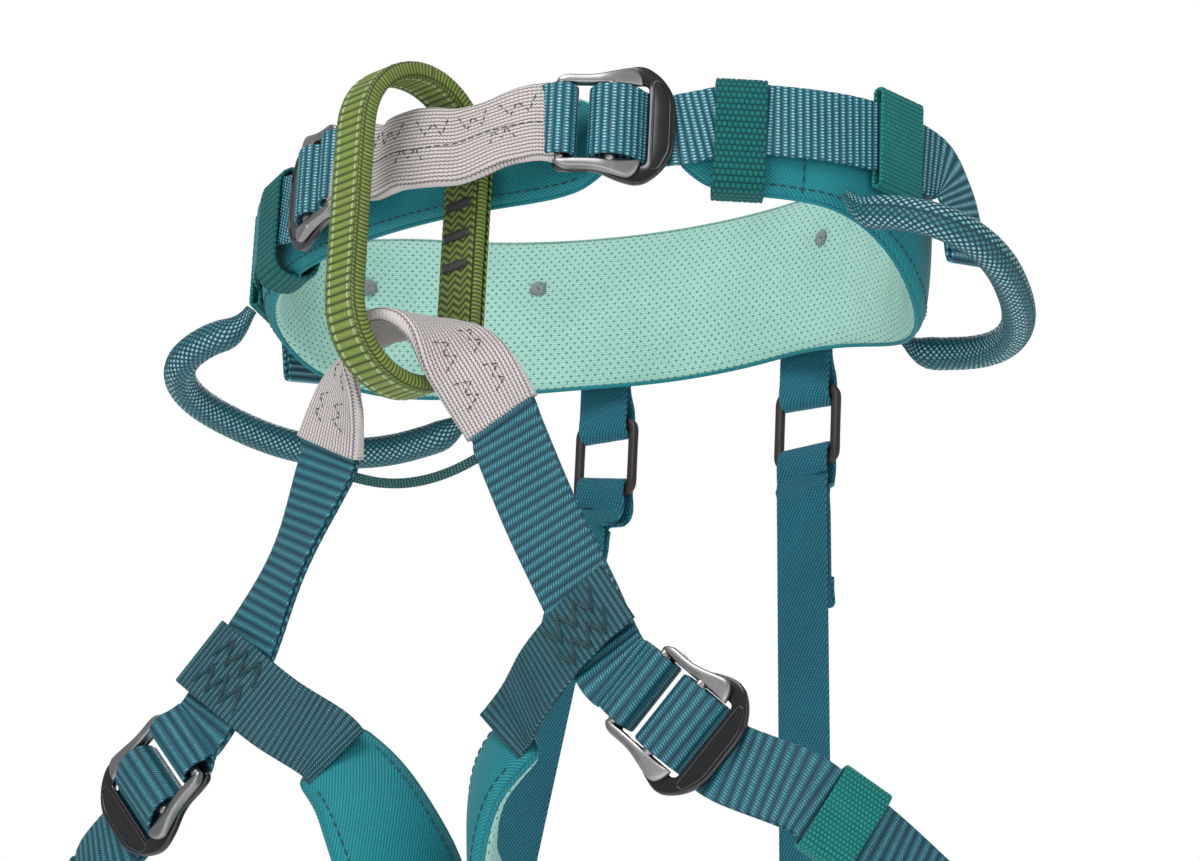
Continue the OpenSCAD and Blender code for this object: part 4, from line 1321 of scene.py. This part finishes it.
belt = make_pad("waist_pad", "waist_belt", ["waist_shell", "waist_lining", "waist_foam"], LEFT, 15,
                belt_seams, 0.8*MM, "shell", "lining")
for k, (t, z) in enumerate(((121, 10), (59, 10), (18, 6), (162, 6))):
    near = np.argmin(np.abs(angle_round(belt.p) - t))
    face = belt.f[near]
    centre = belt.p[near] - face*belt.t[near]*0.5
    star_tack(f"star_tack_{k}", np.array([centre[0], centre[1], z*MM]), np.cross(UP, face), -face)


# ---- leg loops ----

def make_leg_loop(side, way):
    body = f"leg_loop_{side}"
    nodes = [f"leg_{part}_{side}" for part in ("shell", "lining", "foam")]
    make_pad(f"leg_pad_{side}", body, nodes, FRONT, 13, lambda o: [], 0.9*MM, "shell", "shell")
    strap = strip_of(f"leg_strap_{side}", UP)
    b = make_buckle("leg", side)
    strap = strap.where(b.uvn(strap.p)[0] < -6)
    if way > 0:
        top = lower_middle.part(1*MM, lap).back()
    else:
        top = lower_middle.part(total - lap, total - 1*MM)
        strap = strap.every(2*MM).twisted(20, 68*MM)
    outer, inner = two_ply(chained(top, strap).every(1*MM))
    strap = chained(outer, buckle_path(b, FOLD, b.n), inner)
    piece = ribbon(f"leg_strap_web_{side}", strap, leg_wave, 0.6*MM)
    place(piece, "leg_webbing", None, f"leg_strap_{side}")
    hinge = np.array(joints[f"leg_loop_swing_{side}"]["pos_m"])
    bend(piece, hinge + UP*1*MM, hinge - UP*24*MM)
    patch = strip_of(f"leg_junction_{side}", LEFT*way + UP)
    place(ribbon(f"leg_patch_{side}", patch, rib(2.3, 0.25)), "junction", body, f"leg_junction_{side}")
    run, side_step = zigzag(3, 6)
    lines = [patch.on(patch.s[-1]*(0.10 + 0.32*run), (low + (high - low)*side_step)*MM, 0.25*MM)
             for low, high in ((-9, -1), (-7.6, 0.4), (1.5, 9), (2.9, 10.4))]
    place(cords(f"leg_patch_stitches_{side}", lines, 0.33*MM), "teal_thread", body, slot="webbing")
    webbing, tail = strip_of(f"leg_webbing_{side}", FRONT), strip_of(f"leg_tail_{side}", FRONT)
    piece, b = load_strap("leg", side, webbing, tail, leg_wave, 0.6*MM, webbing.s[-1] - 8*MM)
    place(piece, "leg_webbing", None, f"leg_webbing_{side}", f"leg_tail_{side}", f"leg_webbing_turn_{side}")
    bend(piece, b.at(34, 0, 0), b.at(22, 0, 0))
    make_keeper("leg", side, tail, 1, basket(1.7, 1.5, 0.3), "rear_keeper", body)


for side, way in SIDES.items():
    make_leg_loop(side, way)
    make_gear_loop(side)
    make_riser(side, way)

# the crotch elastic: three cords side by side, run on a little way into the leg straps
cord = strip_of("leg_bridge_elastic", LEFT).every(0.5*MM)
into = np.linspace(5*MM, 1*MM, 5)[:, None]
run = np.concatenate([cord.p[0] + into*unit(cord.p[0] - cord.p[4]), cord.p,
                      cord.p[-1] + into[::-1]*unit(cord.p[-1] - cord.p[-5])])
across = np.concatenate([cord.a[:1].repeat(5, 0), cord.a, cord.a[-1:].repeat(5, 0)])
piece = cords("crotch_elastic", [run + across*k*0.85*MM for k in (-1, 0, 1)], 0.85*MM, 10)
place(piece, "bridge_elastic", "waist_belt", "leg_bridge_elastic")


# ---- the studio ----

def add_camera(azimuth=32.42, elevation=-19.65, roll=2.66, distance=1.50714):
    a, e, r = (math.radians(x) for x in (azimuth, elevation, roll))
    right = np.array([math.cos(a), math.sin(a), 0])
    look = np.array([-math.sin(a)*math.cos(e), math.cos(a)*math.cos(e), -math.sin(e)])
    up = np.cross(right, look)
    right, up = right*math.cos(r) + up*math.sin(r), up*math.cos(r) - right*math.sin(r)
    stand = np.array([7.72, 0, -75.32])*MM - look*distance
    data = bpy.data.cameras.new("camera")
    data.lens = 132.03
    data.sensor_width = 36
    camera = linked(bpy.data.objects.new("camera", data))
    camera.matrix_world = Matrix([(right[k], up[k], -look[k], stand[k]) for k in range(3)] + [(0, 0, 0, 1)])
    bpy.context.scene.camera = camera


def add_light(name, position, size, power):
    data = bpy.data.lights.new(name, "AREA")
    data.shape, data.size, data.energy = "DISK", size, power
    light = linked(bpy.data.objects.new(name, data))
    light.location = position
    way = unit(np.array([0, 0, -0.1]) - np.array(position, float))
    light.rotation_euler = Vector(way).to_track_quat("-Z", "Y").to_euler()


def add_world():
    """A soft sky for the light, and plain white for the camera."""
    world = bpy.data.worlds.new("studio")
    bpy.context.scene.world = world
    world.use_nodes = True
    tree = world.node_tree
    tree.nodes.clear()
    mix = tree.nodes.new("ShaderNodeMixShader")
    feed(tree, tree.nodes.new("ShaderNodeLightPath").outputs["Is Camera Ray"], mix.inputs[0])
    for k, colour, strength in ((1, (0.93, 0.96, 1.0), 0.45), (2, (1.0, 1.0, 1.0), 1.0)):
        sky = tree.nodes.new("ShaderNodeBackground")
        feed(tree, colour, sky.inputs["Color"])
        feed(tree, strength, sky.inputs["Strength"])
        feed(tree, sky.outputs[0], mix.inputs[k])
    feed(tree, mix.outputs[0], tree.nodes.new("ShaderNodeOutputWorld").inputs[0])


def add_floor(reach=4, z=-0.7):
    mesh = bpy.data.meshes.new("floor")
    corners = [(-reach, -reach, z), (reach, -reach, z), (reach, reach, z), (-reach, reach, z)]
    mesh.from_pydata(corners, [], [(0, 1, 2, 3)])
    finish = bpy.data.materials.new("floor_white")
    finish.use_nodes = True
    surface = finish.node_tree.nodes["Principled BSDF"].inputs
    for name, value in (("Base Color", (0.9, 0.9, 0.9)), ("Roughness", 0.8),
                        ("Emission Color", (1.0, 1.0, 1.0)), ("Emission Strength", 0.35)):
        feed(finish.node_tree, value, surface[name])
    mesh.materials.append(finish)
    linked(bpy.data.objects.new("floor", mesh))


add_camera()
add_world()
add_floor()
add_light("key", (0.1, -1.3, 0.9), 0.9, 15)
add_light("fill", (1.6, -0.7, 0.1), 1.2, 4.5)
add_light("low", (0.3, -1.2, -0.6), 1.0, 3.5)
add_light("back", (-0.6, 1.4, 0.9), 1.0, 10)
bpy.context.scene.view_settings.view_transform = "Standard"
